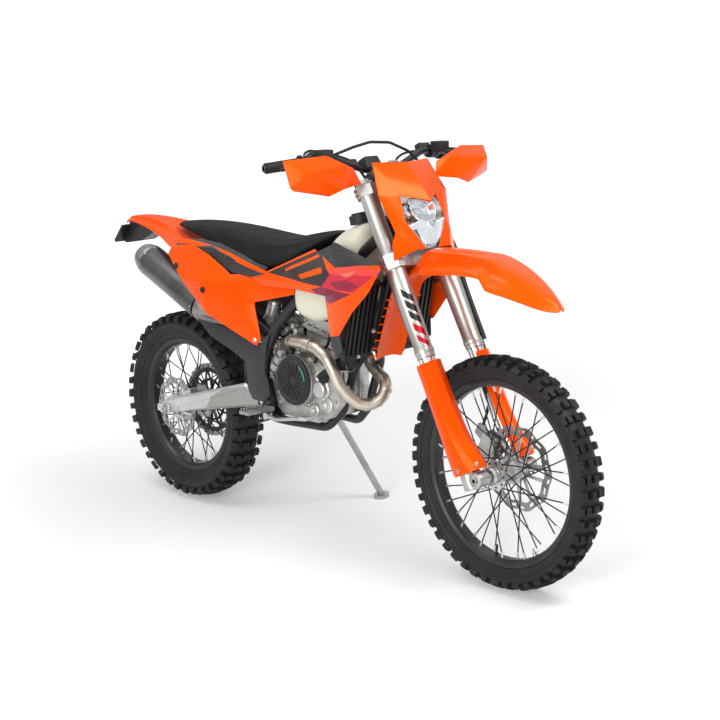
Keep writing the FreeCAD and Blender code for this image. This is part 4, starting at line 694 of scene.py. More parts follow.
def makeDisc(which, body, look):
    waves, steps, rows, y = discWave["count"], discWave["steps"], 6, look["disc"]
    points = []
    for t in turnsOf(waves * steps):
        wave = discWave["height"] * math.cos(waves * t)
        low, high = look["inner"] + wave, look["outer"] - 3 + wave
        points += [around(low + (high - low) * c / rows, t, y) for c in range(rows + 1)]
    faces = []
    for k, face in enumerate(gridFaces(waves * steps, rows + 1, False, True)):
        part, c = k // rows % steps, k % rows
        if not any(c in lanes and first <= part <= last for lanes, first, last in discSlots):
            faces.append(face)
    wheelPlate(which + "DiscRing", body, "discSteel", [(points, faces)], 4, which + "_disc")
    hole, reach = look["hole"], look["inner"] + 3
    parts = [flatRing(y, hole, hole + 13, 60)]
    for middle in turnsOf(5, 0.5):
        parts += [flatArm(y, [(hole + 10, middle + lean * 0.6, 6), (hole + 30, middle + lean * 0.9, 4.5),
                              (reach, middle + lean * 1.25, 6)]) for lean in (-0.34, 0.34)]
    wheelPlate(which + "DiscCarrier", body, "smoothAlloy", parts, 3.4, which + "_disc")
    side = 1 if y > 0 else -1
    bolts = [(around(30, t, y + side * 2), (0, side, 0), 5.5) for t in turnsOf(6)]
    scatter(which + "DiscBolts", body, "steel", "capScrew", bolts)


def makeSprocket():
    look = sprocketLook
    y, root, seat, middle = look["y"], look["root"], look["seat"], look["middle"]
    parts = [flatRing(y, root - 15, root, look["teeth"] * 8, 2.6, look["teeth"]),
             flatRing(y, seat, seat + 13, 60), flatRing(y, middle - 4, middle + 4, 90)]
    for t in turnsOf(look["arms"]):
        parts += [flatArm(y, [(seat + 9, t, 3.6), (middle, t + lean, 3.6), (root - 10, t + 2 * lean, 3.6)])
                  for lean in (-0.16, 0.16)]
    wheelPlate("sprocketPlate", "rear_wheel", "blackAlloy", parts, look["thick"], "rear_sprocket")


makeHub("front")
makeHub("rear")
makeSprocket()
rimParts = (("Valve", "gripRubber", -97, [(-2, 0), (-2, 5), (6, 4.5), (8, 3.5), (30, 3.2), (32, 0)]),
            ("RimLock", "steel", -62, [(-2, 0), (-2, 8), (3, 8), (3, 6), (11, 6), (11, 3.6), (22, 3.6),
                                       (23, 0)]))
for which, radius in (("front", 255), ("rear", 217)):
    for label, finishName, turnDeg, profile in rimParts:
        out = around(1, math.radians(turnDeg))
        turnedPiece(which + label, which + "_wheel", finishName, [(out * radius, -out, profile)], 12)
print("wheels made")

# Fenders: (ahead, up) of the ridge, (half width, drop) of shoulder and edge, and how deep the side is scooped
frontFenderRows = [
    ((-238, 470), (30, 2), (57, 10), 0), ((-150, 553), (32, 2), (59, 10), 0),
    ((-62, 638), (34, 2), (60, 10), 0), ((-36, 659.7), (36, 3), (64, 20), 0),
    ((66, 659.7), (36, 3), (66, 28), 0.3), ((84, 694), (36, 8), (78, 78), 0.9),
    ((149, 669), (42, 10), (84, 79), 1), ((236, 625), (47, 10), (90, 67), 1),
    ((312, 582), (51, 9), (97, 66), 0.8), ((322, 575), (51, 9), (102, 99), 0.6),
    ((364, 533), (50, 9), (98, 88), 0.3), ((398, 490), (46, 10), (86, 73), 0.1),
    ((432, 439), (38, 11), (62, 60), 0), ((454, 402), (24, 11), (38, 47), 0),
    ((471, 370), (7, 5), (12, 28), 0), ((472, 350), (3, 1), (5, 4), 0),
]
rearFenderRows = [
    ((-315, 978), (22, 1), (34, 6), 0), ((-300, 997), (24, 1), (42, 15), 0),
    ((-262, 1002), (30, 0), (50, 18), 0.3), ((-141, 1003), (44, 5), (74, 31), 0.6),
    ((-33, 984), (60, 0), (100, 32), 0.6), ((30, 960), (76, -13), (124, 16), 0.3),
    ((110, 940), (108, -12), (160, 8), 0), ((172, 928), (124, -14), (185, -1), 0),
]
fenderColumns, stepDrop = 11, 30


def makeFender(name, body, finishName, rows, replaced):
    points = []
    for (x, top), (near, high), (far, low), scoop in rows:
        groove = (near + (0.45 - 0.48 * scoop) * (far - near), high + (0.45 + 0.05 * scoop) * (low - high))
        lip = (far - (0.20 - 0.10 * scoop) * (far - near), low - (0.20 + 0.06 * scoop) * (low - high))
        row = [(far, low), lip, groove, (near, high), (near / 2, 0)]
        points += [(x, y, top - d) for y, d in [(-y, d) for y, d in row] + [(0, 0)] + row[::-1]]
    piece = meshPiece(name, body, finishName, points, gridFaces(len(rows), fenderColumns))
    for columns, amount in (((1, 9), 0.6), ((2, 8), 0.5), ((3, 7), 0.9)):
        crease(piece, fenderColumns, amount, columns)
    steps = [k for k in range(1, len(rows)) if abs(rows[k][2][1] - rows[k - 1][2][1]) > stepDrop]
    crease(piece, fenderColumns, 0.9, (), steps + [k - 1 for k in steps], range(2, 8))
    addSubdivision(piece)
    addWall(piece, plasticWall)
    stand(bake(piece, 35), body, replaced)


makeFender("frontFenderShell", "steering", "orangePlastic", frontFenderRows, "front_fender")
makeFender("rearFenderShell", "chassis", "tailPlastic", rearFenderRows, "rear_fender")
flapFins = []
for reach in (k / 7 for k in range(8)):
    ahead, up = -80 - 150 * reach, 600 - 128 * reach
    flapFins += [[(ahead, s * 54, up), (ahead - 3, s * 64, up + 1), (ahead - 7, s * 73, up + 3)]
                 for s in (-1, 1)]
wires("fenderFins", "steering", "orangePlastic", 2.2, flapFins, 6)


# Faceted plates: corners of one side, and the facets between them
def makePlate(name, body, finishName, points, faces, bevel, replaced=None, thickness=plasticWall,
              facing=None):
    half = len(points)
    points = points + [(x, -y, z) for x, y, z in points]
    faces = faces + [tuple(half + i for i in reversed(face)) for face in faces]
    piece = meshPiece(name, body, finishName, points, faces)
    lean, back = leanTurn.to_3x3(), bikePlace.inverted()
    faceOutwards(piece, lambda centre: lean @ Vector(facing or (0, (back @ centre).y, 0)))
    addWall(piece, thickness)
    addBevel(piece, bevel, 6)
    stand(bake(piece, 30), body, replaced)


maskPoints = [(120, 0, 956), (94, 115, 973), (99, 141, 867), (87, 114, 752), (70, 127, 723), (58, 130, 678),
              (104, 70, 688), (98, 26, 689), (109, 80, 772), (115, 74, 854), (157, 0, 814)]
maskFaces = [(0, 1, 9, 10), (1, 2, 9), (2, 3, 8, 9), (3, 6, 7, 8), (3, 4, 6), (4, 5, 6)]
panelPoints = [
    (166, 200, 909), (175, 190, 939), (288, 182, 945), (362, 176, 916), (434, 166, 873), (453, 163, 859),
    (521, 145, 863), (600, 137, 842), (735, 134, 832), (735, 134, 814), (548, 142, 773), (547, 142, 761),
    (573, 143, 656), (558, 150, 632), (367, 203, 725), (239, 205, 829), (340, 203, 829), (471, 172, 837),
    (505, 164, 775),
]
panelFaces = [(0, 1, 2, 3, 16, 15), (3, 4, 17, 16), (4, 5, 17), (5, 6, 7, 17), (7, 8, 9, 10), (7, 10, 18, 17),
              (10, 11, 18), (11, 12, 13, 18), (16, 17, 18, 14), (18, 13, 14), (15, 16, 14)]
shroudPoints = [
    (540, 150, 854), (600, 149, 872), (720, 144, 918), (837, 132, 965), (964, 166, 921), (1106, 192, 941),
    (1194, 202, 949), (1202, 202, 940), (1149, 204, 866), (1076, 204, 800), (1014, 202, 724), (973, 200, 716),
    (926, 174, 832), (764, 152, 835), (610, 148, 832), (800, 156, 880), (1000, 190, 850),
]
shroudFaces = [(0, 1, 14), (1, 2, 15, 13, 14), (2, 3, 15), (3, 4, 15), (4, 12, 13, 15), (4, 16, 12),
               (4, 5, 16), (5, 8, 9, 16), (5, 6, 7, 8), (16, 9, 10, 11, 12)]
guardY = 136.3
frameGuardPoints = [
    (306, 192, 703), (352, 176, 646), (438, 150, 600), (488, guardY, 567), (491, guardY, 479),
    (514, guardY, 448), (570, guardY, 446), (603, guardY, 472), (596, guardY, 521), (580, guardY, 546),
    (594, guardY, 630), (614, guardY, 681), (560, guardY, 636), (442, 150, 672),
]
frameGuardFaces = [(0, 1, 2, 13), (2, 3, 12, 13), (3, 9, 10, 12), (10, 11, 12), (3, 4, 8, 9), (4, 5, 6, 7, 8)]
handguardPoints = [(62, 416, 1013), (92, 279, 1007), (72, 172, 968), (64, 154, 922), (74, 236, 906),
                   (60, 290, 893), (42, 397, 926), (47, 410, 934), (103, 366, 955), (94, 212, 970)]
handguardFaces = [(0, 1, 9, 8), (1, 2, 9), (9, 2, 3, 4), (8, 9, 4), (8, 4, 5), (8, 5, 6, 7), (0, 8, 7)]


def makeHeadlamp():
    ring = [(155, 0, 812), (114, -73, 852), (108, -79, 772), (98, -27, 690), (98, 27, 690), (108, 79, 772),
            (114, 73, 852)]
    lens = meshPiece("lampLens", "steering", "lampGlass", ring + [(138, 0, 768)],
                     [(k, (k + 1) % 7, 7) for k in range(7)])
    addSubdivision(lens)
    addWall(lens, 2.0)
    stand(bake(lens, 60), "steering", "headlamp")
    back = [(118, 0, 806), (84, -70, 848), (80, -76, 772), (74, -30, 694), (74, 30, 694), (80, 76, 772),
            (84, 70, 848)]
    wall = gridFaces(2, 7, True) + [tuple(range(7, 14))]
    housing = meshPiece("lampHousing", "steering", "lampSilver", ring + back, wall, 20)
    stand(housing, "steering", "headlamp")
    bowl = [(2, 14), (10, 30), (22, 42), (34, 48), (38, 50), (38, 47), (34, 45), (20, 37), (8, 25), (4, 12)]
    bulb = [(4, 0), (4, 10), (16, 9), (20, 12), (26, 14), (34, 12), (38, 7), (40, 0)]
    turnedPiece("lampBowl", "steering", "lampSilver", [((76, 0, 812), (1, 0, 0.05), bowl)])
    turnedPiece("lampBulb", "steering", "chrome", [((76, 0, 812), (1, 0, 0.05), bulb)], 24)
    ribs = [(4 * k - 32, 4 * (k % 2)) for k in range(18)]
    points = [(88 + 5 * up + ahead, y * (1.0 if up else 0.72), 704 + 52 * up)
              for up in (0, 1) for y, ahead in ribs]
    panel = meshPiece("lampLowBowl", "steering", "lampSilver", points, gridFaces(2, len(ribs)), 10)
    addWall(panel, 2.0)
    stand(bake(panel, 20), "steering")


makePlate("maskShell", "steering", "maskPrint", maskPoints, maskFaces, 2.0, "headlight_mask")
makeHeadlamp()
makePlate("sidePanelShells", "chassis", "orangePlastic", panelPoints, panelFaces, 2.5, "side_panels")
makePlate("shroudShells", "chassis", "shroudPrint", shroudPoints, shroudFaces, 2.5, "shrouds")
makePlate("frameGuardShells", "chassis", "dimpledPlastic", frameGuardPoints, frameGuardFaces, 2.0,
          "frame_guards")
makePlate("handguardShells", "steering", "orangePlastic", handguardPoints, handguardFaces, 3.0, "handguards",
          facing=(1, 0, 0))
print("plates made")

# Fork guards: (up, lead, radius) rings round each leg, and where they start and how far they go round it
guardStartDeg, guardSweepDeg = -58, 188
forkGuardRings = [(368, 0, 38), (250, 0, 38), (130, 2, 40), (70, 26, 42), (28, 34, 40)]


def makeForkGuards():
    columns = 15
    ridges = {5: 2.5, 9: 2.0}
    points = []
    for s in (-1, 1):
        for up, lead, radius in forkGuardRings:
            for c in range(columns):
                angle = math.radians(guardStartDeg + guardSweepDeg * c / (columns - 1))
                reach = radius + (ridges.get(c, 0) if up > 60 else 0)
                ahead = legAhead + reach * math.cos(angle) + lead * max(0, math.cos(angle))
                points.append((ahead, s * (legOut + reach * math.sin(angle)), up))
    half = len(points) // 2
    grid = gridFaces(len(forkGuardRings), columns)
    faces = joined([(points[:half], grid), (points[half:], grid)])[1]
    piece = meshPiece("forkGuardShells", "steering", "orangePlastic", points, faces)

    def fromLeg(centre):
        local = steerPlace.inverted() @ centre
        legY = math.copysign(legOut * 0.001, local.y)
        return steerPlace.to_3x3() @ Vector((local.x - legAhead * 0.001, local.y - legY, 0))

    faceOutwards(piece, fromLeg)
    crease(piece, columns, 0.8, tuple(ridges))
    addSubdivision(piece)
    addWall(piece, plasticWall)
    stand(bake(piece, 25), "steering", "fork_guards")


makeForkGuards()
guardBolts, clampBolts = [], []
for s in (-1, 1):
    for lead, out in ((math.cos(math.radians(a)), math.sin(math.radians(a))) for a in (28, 84)):
        guardBolts.append(((legAhead + 74 * lead, s * (legOut + 42.5 * out), 42), (lead, s * out, 0), 6))
    for up, x, y in ((902, 14, 140), (916, 14, 140), (672, 24, 144), (690, 24, 144)):
        clampBolts += [((legAhead - 40, s * 96, up), (-1, 0, 0), 6), ((x, s * y, up), (0, s, 0), 5)]
scatter("forkGuardBolts", "steering", "steel", "flangeBolt", guardBolts)

# Fork: outer tubes with their caps and seals, as (up the leg, radius)
forkProfile = [(940, 0), (940, 14), (945, 15), (945, 19), (938, 21), (938, 25), (934, 27), (925.5, 27),
               (925.5, 28.4), (921, 28.4), (892.5, 28.4), (888, 27), (720, 27), (709, 29.8), (705.5, 29.8),
               (659.5, 29.8), (648, 30), (560, 30), (545, 29.4), (414, 27.4), (410, 29.2), (404, 29.6),
               (398, 29.2), (396, 27.6), (384, 27.6), (382, 24.6), (400, 24.6)]
sleeveProfile = [(64, 23), (64, 24.5), (397, 24.5), (397, 23)]
lugProfile = [(-18, 20), (-18, 25), (14, 25), (17, 24), (21, 22), (22, 20), (22, 15), (19, 14)]
forkTubes, sleeves, lugs = (
    [((x, s * legOut, 0), (0, s * aside, up), profile) for s in (-1, 1)]
    for x, aside, up, profile in ((legAhead, 0, 1, forkProfile), (legAhead, 0, 1, sleeveProfile),
                                  (57, 1, 0, lugProfile)))
turnedPiece("forkTubes", "steering", "forkPrint", forkTubes, 56, "fork_outer_tubes", 30)
turnedPiece("stanchionSleeves", "steering", "chrome", sleeves, 48)
turnedPiece("axleLugs", "steering", "castAlloy", lugs)
scatter("axleLugScrews", "steering", "steel", "capScrew",
        [((66, s * across, -24), (0.3, 0, -0.95), 6) for s in (-1, 1) for across in (94, 112)])
scatter("clampBolts", "steering", "bronzeBolt", "capScrew", clampBolts)
# A thick dark tube, twice the brake hose's width, along the hose's path beside the far fork leg
wires("hoseSleeve", "steering", "blackPlastic", 9.0, [
    [(58, 140, 880), (46, 144, 822), (40, 142, 752), (46, 144, 682), (36, 141, 602), (34, 140, 522),
     (34, 140, 442), (34, 140, 402)],
], 10, 3)
wires("controlCables", "steering", "gripRubber", 4.2, [
    [(-30, -250, 1046), (-60, -215, 1078), (-82, -165, 1096), (-62, -138, 1074), (-19, -120, 1044),
     (10, -100, 1004), (8, -70, 930), (-8, -50, 880), (-12, -32, 826)],
    [(-26, -96, 960), (-22, -84, 900), (-22, -56, 862), (-16, -31, 822)],
    [(-30, 250, 1046), (-40, 190, 1050), (-20, 120, 1030), (10, 60, 990), (0, 42, 900), (-12, 32, 822)],
], 8, 4)
wires("throttleBarrel", "steering", "brightSteel", 8.0,
      [[(-34, -268, 1042), (-44, -240, 1056), (-56, -214, 1068)]], 12, 3)
turnedPiece("stemNut", "steering", "steel",
            [((0, 0, 925), (0, 0, 1), [(0, 22), (6, 22), (8, 20), (8, 16), (12, 15), (12, 0)])], 24)
print("guards made")

# Silencer: can, rear cap and front cone, as (along, radius)
silencerRear, silencerFront = Vector((-15, -142, 866)), Vector((278, -142, 738))
silencerMouth = Vector((385, -122, 696))


def makeSilencer():
    back, length = (silencerRear - silencerFront).normalized(), (silencerRear - silencerFront).length
    ahead, reach = (silencerMouth - silencerFront).normalized(), (silencerMouth - silencerFront).length
    can = [(2, 52), (2, 54.4), (8, 55), (length - 8, 55), (length - 4, 54.2), (length - 4, 52)]
    cap = [(-6, 53.4), (4, 54.6), (9, 54), (30, 48.5), (44, 42), (48, 38), (48.5, 24), (44, 19), (20, 17),
           (20, 0)]
    nose = [(-4, 53.6), (4, 54.8), (14, 54), (40, 46), (72, 35), (reach - 16, 26.5), (reach - 4, 24.5),
            (reach - 1, 24.5), (reach - 1, 20)]
    for label, finishName, part in (("Can", "silencerMetal", (silencerFront, back, can)),
                                    ("Cap", "capMetal", (silencerRear, back, cap)),
                                    ("Cone", "capMetal", (silencerFront, ahead, nose))):
        turnedPiece("silencer" + label, "chassis", finishName, [part], 56, "silencer")
    rivets = []
    for centre in (silencerRear - back * 9, silencerFront + back * 10):
        rivets += [(p, p - centre, 3.4) for p in turned(centre, back, [(0, 54.8)], 8)[0]]
    scatter("silencerRivets", "chassis", "steel", "rivet", rivets)


makeSilencer()

# Engine: covers on both sides as (out from the case, radius), with their screws, bosses and ribs
toRight = (0, -1, 0)
clutchCentre = Vector((718, -104.3, 537))
clutchBase = [(0, 84), (8, 83), (22, 82), (26, 80), (26, 60)]
clutchProfile = [(24, 80), (30, 80), (34, 78.5), (36, 76), (36, 71), (38, 69.5), (40.8, 68), (40.8, 62),
                 (38.5, 60), (36, 58.5), (35, 56), (35, 12), (37, 9), (37, 0)]
fillerProfile = [(0, 14), (14, 14), (14, 17), (22, 17), (24, 15), (24, 6), (20, 5), (20, 0)]
ignitionProfile = [(0, 68), (22, 68), (28, 65), (34, 58), (38, 54), (38, 40), (35, 38), (35, 0)]
turnedPiece("clutchHousing", "chassis", "castAlloy", [(clutchCentre, toRight, clutchBase)], 64,
            "engine_covers")
turnedPiece("clutchCover", "chassis", "blackPlastic", [(clutchCentre, toRight, clutchProfile),
                                                       ((688, -104.3, 622), toRight, fillerProfile)],
            64, "engine_covers")
turnedPiece("ignitionCover", "chassis", "blackPlastic", [((745, 70.3, 505), (0, 1, 0), ignitionProfile)],
            64, "engine_covers")


def makeCoverDetail():
    ribs = []
    for t in turnsOf(16):
        points = [clutchCentre + around(radius, t + twist, -depth, aside)
                  for radius, twist in ((16, 0.0), (28, 0.10), (42, 0.22), (56, 0.36))
                  for depth, aside in ((35, -1.8), (37.6, -1.1), (37.6, 1.1), (35, 1.8))]
        ribs.append((points, gridFaces(4, 4) + [(0, 1, 2, 3), (12, 13, 14, 15)]))
    piece = meshPiece("clutchRibs", "chassis", "blackPlastic", *joined(ribs), 30)
    stand(piece, "chassis", None)
    outline = [(612, 448), (650, 416), (705, 411), (760, 412), (812, 420), (846, 448), (884, 486), (896, 528),
               (872, 562), (838, 578), (800, 596), (640, 588), (602, 520), (606, 480)]
    rim = [clutchCentre + around(86, t, -8) for t in turnsOf(9, 0.35)]
    screws = [(p, toRight, 5.5) for p in rim + [(x, -104, z) for x, z in outline]]
    scatter("caseScrews", "chassis", "steel", "capScrew", screws)
    bosses = [((x, -98, z), toRight, [(0, 8), (5.4, 8), (5.8, 7.4), (5.8, 0)]) for x, z in outline]
    bosses += [((p.x, -98, p.z), toRight, [(0, 9), (12.5, 9), (13.8, 7.6), (13.8, 0)]) for p in rim]
    turnedPiece("caseBosses", "chassis", "castAlloy", bosses, 14)


makeCoverDetail()
ribRuns = [[(x, -76, 409), (x + 4, -77, 424), (x + 6, -77.5, 440)] for x in range(640, 797, 26)]
ribRuns += [[(846 + 2 * k, y, 470), (853, y, 520), (851, y, 566)] for k, y in enumerate(range(-60, 29, 22))]
wires("caseRibs", "chassis", "castAlloy", 3.2, ribRuns)
headScrews = [((x, -72, z), toRight, 6.5) for x, z in ((722, 716), (754, 709), (788, 702), (824, 694),
                                                       (730, 734), (836, 712))]
headScrews += [((x, -62, z), toRight, 6) for x, z in ((714, 652), (808, 634), (722, 690), (820, 668))]
scatter("headScrews", "chassis", "steel", "flangeBolt", headScrews)
wires("gasketSeams", "chassis", "silencerMetal", 1.8, [
    [(703, -63, 660), (826, -63, 637)], [(709, -63, 690), (832, -63, 664)],
    [(704, -73, 716), (842, -73, 688)],
], 6)

# Header: weld seams and collars along the pipe
seamSpots = [((908, 8, 633), (0.62, 0.12, -0.77), 20.4), ((984, 6, 557), (0.9, -0.15, -0.42), 20.4),
             ((1009, -8, 527), (0.06, -0.4, -0.92), 20.4), ((997, -32, 495), (-0.5, -0.68, -0.52), 20.4),
             ((975, -60, 484), (-0.65, -0.75, 0.08), 20.4), ((931, -112, 532), (-0.38, -0.36, 0.86), 20.4),
             ((896, -134, 611), (-0.5, -0.1, 0.86), 20.4), ((806, -134, 660), (-0.99, 0.03, 0.14), 21.2),
             ((796, -133, 661), (-0.99, 0.03, 0.14), 21.2), ((683, -108, 655), (-0.8, 0.44, -0.2), 20.4),
             ((600, -73, 633), (-0.98, 0.1, -0.13), 21.0)]
seamFit = 0.97
scatter("headerCollars", "chassis", "headerSteel", "band", [(p, way, r * seamFit) for p, way, r in seamSpots])
clampSpots = [((962, -98, 640), (0.2, -0.05, 0.97), 15), ((940, -91, 603), (0.9, 0, 0.2), 15),
              ((832, -111, 537), (0.35, 0.3, 0.9), 15.5), ((824, -110, 560), (0.8, -0.5, 0.4), 12.6)]
scatter("hoseClamps", "chassis", "steel", "band", clampSpots)

# Trim strips between the seat, the rear fender and the shroud
trimPoints = [(180, 186, 932), (236, 178, 936), (350, 164, 941), (462, 156, 908), (560, 153, 884),
              (604, 149.5, 868), (548, 150, 856), (503, 153, 858), (450, 158, 864), (361, 170, 903),
              (317, 177, 908), (165, 150, 950), (250, 120, 958), (350, 118, 950), (470, 126, 925),
              (560, 138, 902), (620, 141, 893)]
trimFaces = [(0, 1, 10), (1, 2, 9, 10), (2, 3, 8, 9), (3, 4, 7, 8), (4, 5, 6, 7), (0, 11, 12, 1),
             (1, 12, 13, 2), (2, 13, 14, 3), (3, 14, 15, 4), (4, 15, 16, 5)]
makePlate("seatTrim", "chassis", "dimpledPlastic", trimPoints, trimFaces, 1.5, thickness=3.0)
bandPoints = [(175, 176, 962), (240, 165, 960), (330, 152, 948), (440, 148, 926), (545, 153, 900),
              (625, 150, 880), (600, 152, 873), (540, 157, 886), (436, 156, 910), (345, 162, 934),
              (270, 172, 942), (185, 184, 948)]
bandFaces = [(0, 1, 10, 11), (1, 2, 9, 10), (2, 3, 8, 9), (3, 4, 7, 8), (4, 5, 6, 7)]
makePlate("seatBand", "chassis", "orangePlastic", bandPoints, bandFaces, 1.5, thickness=3.0)

farAside, seamReach = 400, 120


def surfaceSpot(piece, start, target):
    bpy.context.view_layer.update()
    start = spot("chassis", *start)
    way = (spot("chassis", *target) - start).normalized()
    found, where, normal, face = piece.ray_cast(start, way)
    back = bikePlace.inverted()
    return found, back @ where * 1000, back.to_3x3() @ (normal if normal.dot(way) < 0 else -normal)


def makePanelHoles():
    panel = bpy.data.objects["sidePanelShells"]
    profile = [(-1, 11), (0.9, 10.6), (1.1, 9.4), (0.6, 8.2), (0.6, 0)]
    rings, bolts = [], []
    for side in (-1, 1):
        for x, z in ((212, 872), (352, 803)):
            rings.append((*surfaceSpot(panel, (x, side * farAside, z), (x, 0, z))[1:], profile))
        bolts.append((*surfaceSpot(panel, (552, side * farAside, 652), (552, 0, 652))[1:], 7))
    turnedPiece("panelHoles", "chassis", "gripRubber", rings, 24, None)
    scatter("panelBolts", "chassis", "brightSteel", "flangeBolt", bolts)


makePanelHoles()

# Intake, shock and small castings between the frame and the head
turnedPiece("intakeCasting", "chassis", "castAlloy", [
    ((585, -36, 664), (0.97, 0, 0.2), [(0, 0), (0, 24), (6, 27), (40, 28), (44, 31), (52, 31), (56, 27),
                                       (112, 30)]),
    ((620, -66, 700), (0.4, -0.2, 0.9), [(-26, 0), (-26, 13), (0, 15), (4, 18), (12, 18), (14, 13), (26, 12),
                                         (28, 0)]),
    ((660, -72, 668), toRight, [(-20, 18), (0, 18), (6, 15), (14, 14), (16, 10), (16, 0)])], 32)
turnedPiece("shockReservoir", "chassis", "brightSteel", [
    ((552, -58, 768), (-0.42, 0, -0.9), [(-6, 0), (-6, 17), (-2, 21), (6, 22), (8, 24), (14, 24), (16, 22),
                                         (62, 22), (64, 25), (70, 25), (72, 21), (84, 18), (86, 0)]),
    ((590, -62, 742), (-0.5, 0, -0.86), [(0, 0), (0, 9), (4, 11), (22, 11), (24, 8), (48, 8), (50, 0)])], 32)
coilTurns, coilSteps, coilRadius = 6, 16, 36
coil = []
for k in range(coilTurns * coilSteps + 1):
    angle = turnsOf(coilSteps)[k % coilSteps]
    reach, swing = k / (coilTurns * coilSteps), coilRadius * math.cos(angle)
    coil.append((470 + 122 * reach + swing * 0.785, coilRadius * math.sin(angle),
                 506 + 155 * reach - swing * 0.62))
wires("shockSpring", "chassis", "springPaint", 5.5, [coil], 10)
wires("engineHoses", "chassis", "gripRubber", 5.0, [
    [(640, -78, 760), (628, -84, 720), (640, -86, 690), (668, -88, 676)],
    [(600, -70, 790), (590, -76, 752), (598, -80, 716), (616, -82, 690)],
    [(860, -96, 700), (846, -100, 660), (812, -108, 624), (792, -108, 600)],
    [(905, -60, 640), (880, -92, 616), (858, -102, 596), (842, -106, 560)]], 8, 5)
wires("pumpHose", "chassis", "gripRubber", 12.0, [[(806, -96, 552), (830, -113, 563), (860, -110, 582),
                                                   (886, -96, 600), (912, -84, 615), (940, -70, 628)]], 16, 5)
turnedPiece("intakeBoot", "chassis", "gripRubber", [
    ((556, -50, 674), (1, 0, 0.1), [(0, 0), (0, 24), (4, 27), (12, 27), (16, 24), (24, 24), (28, 27),
                                    (36, 27), (40, 24), (66, 22), (66, 0)])], 32)
intakeBolts = [((664, -92, 727), (-0.3, -0.9, 0.2), 6.5), ((676, -88, 704), toRight, 7.5),
               ((648, -90, 690), toRight, 7), ((700, -96, 690), toRight, 7), ((622, -88, 676), toRight, 7)]
scatter("intakeBolts", "chassis", "brightSteel", "capScrew", intakeBolts)
turnedPiece("intakeBosses", "chassis", "castAlloy",
            [((x, -80, z), toRight, [(0, 12), (6, 11), (-72 - y, 9), (-72 - y, 0)])
             for (x, y, z), way, size in intakeBolts], 20)
turnedPiece("pumpCover", "chassis", "castAlloy", [
    ((828, -104, 520), toRight, [(0, 34), (6, 33), (10, 28), (22, 26), (25, 22), (25, 0)]),
    ((848, -104, 470), toRight, [(0, 26), (6, 25), (9, 20), (9, 0)]),
    ((786, -104, 446), toRight, [(0, 22), (5, 21), (8, 17), (8, 0)]),
    ((808, -96, 553), (0.5, -0.8, 0.3), [(-8, 18), (6, 17), (14, 14), (14, 0)])], 36)
pumpScrews = [(Vector((828, -109, 520)) + around(30, angle), toRight, 5) for angle in (0.4, 1.9, 3.3, 4.9)]
pumpScrews += [((848, -113, 470), toRight, 9), ((786, -112, 446), toRight, 8)]
scatter("pumpScrews", "chassis", "brightSteel", "capScrew", pumpScrews)
scatter("radiatorBolts", "chassis", "brightSteel", "flangeBolt",
        [((x, s * y, z), (1, 0, -0.2), size) for x, y, z, size in ((1024, 68, 722, 8), (1010, 120, 648, 6))
         for s in (-1, 1)])
labelPoints = [clutchCentre + around(radius, math.radians(8 + 5.5 * k), -40.95)
               for k in range(9) for radius in (61.8, 67.8)]
label = meshPiece("clutchLabel", "chassis", "labelPaint", labelPoints, gridFaces(9, 2))
stand(label, "chassis")


# Blocks: centre, half sizes and how far the top tapers
def blockPiece(name, body, finishName, bevel, blocks):
    parts = [([(x + i * across * share, y + j * wide * share, z + level)
               for level, share in ((-high, 1.0), (high, taper))
               for i, j in ((-1, -1), (1, -1), (1, 1), (-1, 1))], tubeFaces(2, 4))
             for (x, y, z), (across, wide, high), taper in blocks]
    piece = meshPiece(name, body, finishName, *joined(parts), 30)
    addBevel(piece, bevel, 30)
    stand(bake(piece, 35), body, None)


def bothSides(*blocks):
    return [((x, s * y, z), sizes, taper) for (x, y, z), sizes, taper in blocks for s in (-1, 1)]


blockPiece("axleAdjusters", "chassis", "brightSteel", 2.5,
           bothSides(((-8, 121, 336), (26, 4, 17), 0.9), ((-46, 112, 336), (8, 11, 13), 0.9)))
nutProfile = [(0, 17), (3, 17), (4, 15), (10, 15), (11, 13), (11, 9), (7, 8), (7, 0)]
turnedPiece("axleNuts", "chassis", "steel",
            [((0, s * 124, 336), (0, s, 0), nutProfile) for s in (-1, 1)]
            + [((-54, s * 112, 336), (-1, 0, 0), [(0, 6), (9, 6), (10, 5), (10, 0)]) for s in (-1, 1)],
            6, smoothDeg=20)
blockPiece("cradleBrackets", "chassis", "blackPaint", 4.0, bothSides(((572, 78, 414), (30, 14, 16), 0.85)))
blockPiece("tailLamp", "chassis", "lampRed", 3.0, [((-326, 0, 948), (10, 30, 8), 0.8)])
blockPiece("instrumentPods", "steering", "blackPlastic", 4.0, [
    ((14, -46, 1000), (22, 34, 20), 0.8), ((36, 0, 978), (16, 60, 12), 0.7),
    ((-6, -96, 1012), (14, 18, 14), 0.75), ((30, -70, 940), (20, 24, 22), 0.85),
    ((30, 66, 944), (20, 26, 24), 0.85),
])
blockPiece("switchBoxes", "steering", "blackPlastic", 4.0,
           bothSides(((-10, 232, 1046), (18, 17, 15), 0.8), ((2, 198, 1046), (14, 12, 12), 0.85)))
print("engine and silencer made")

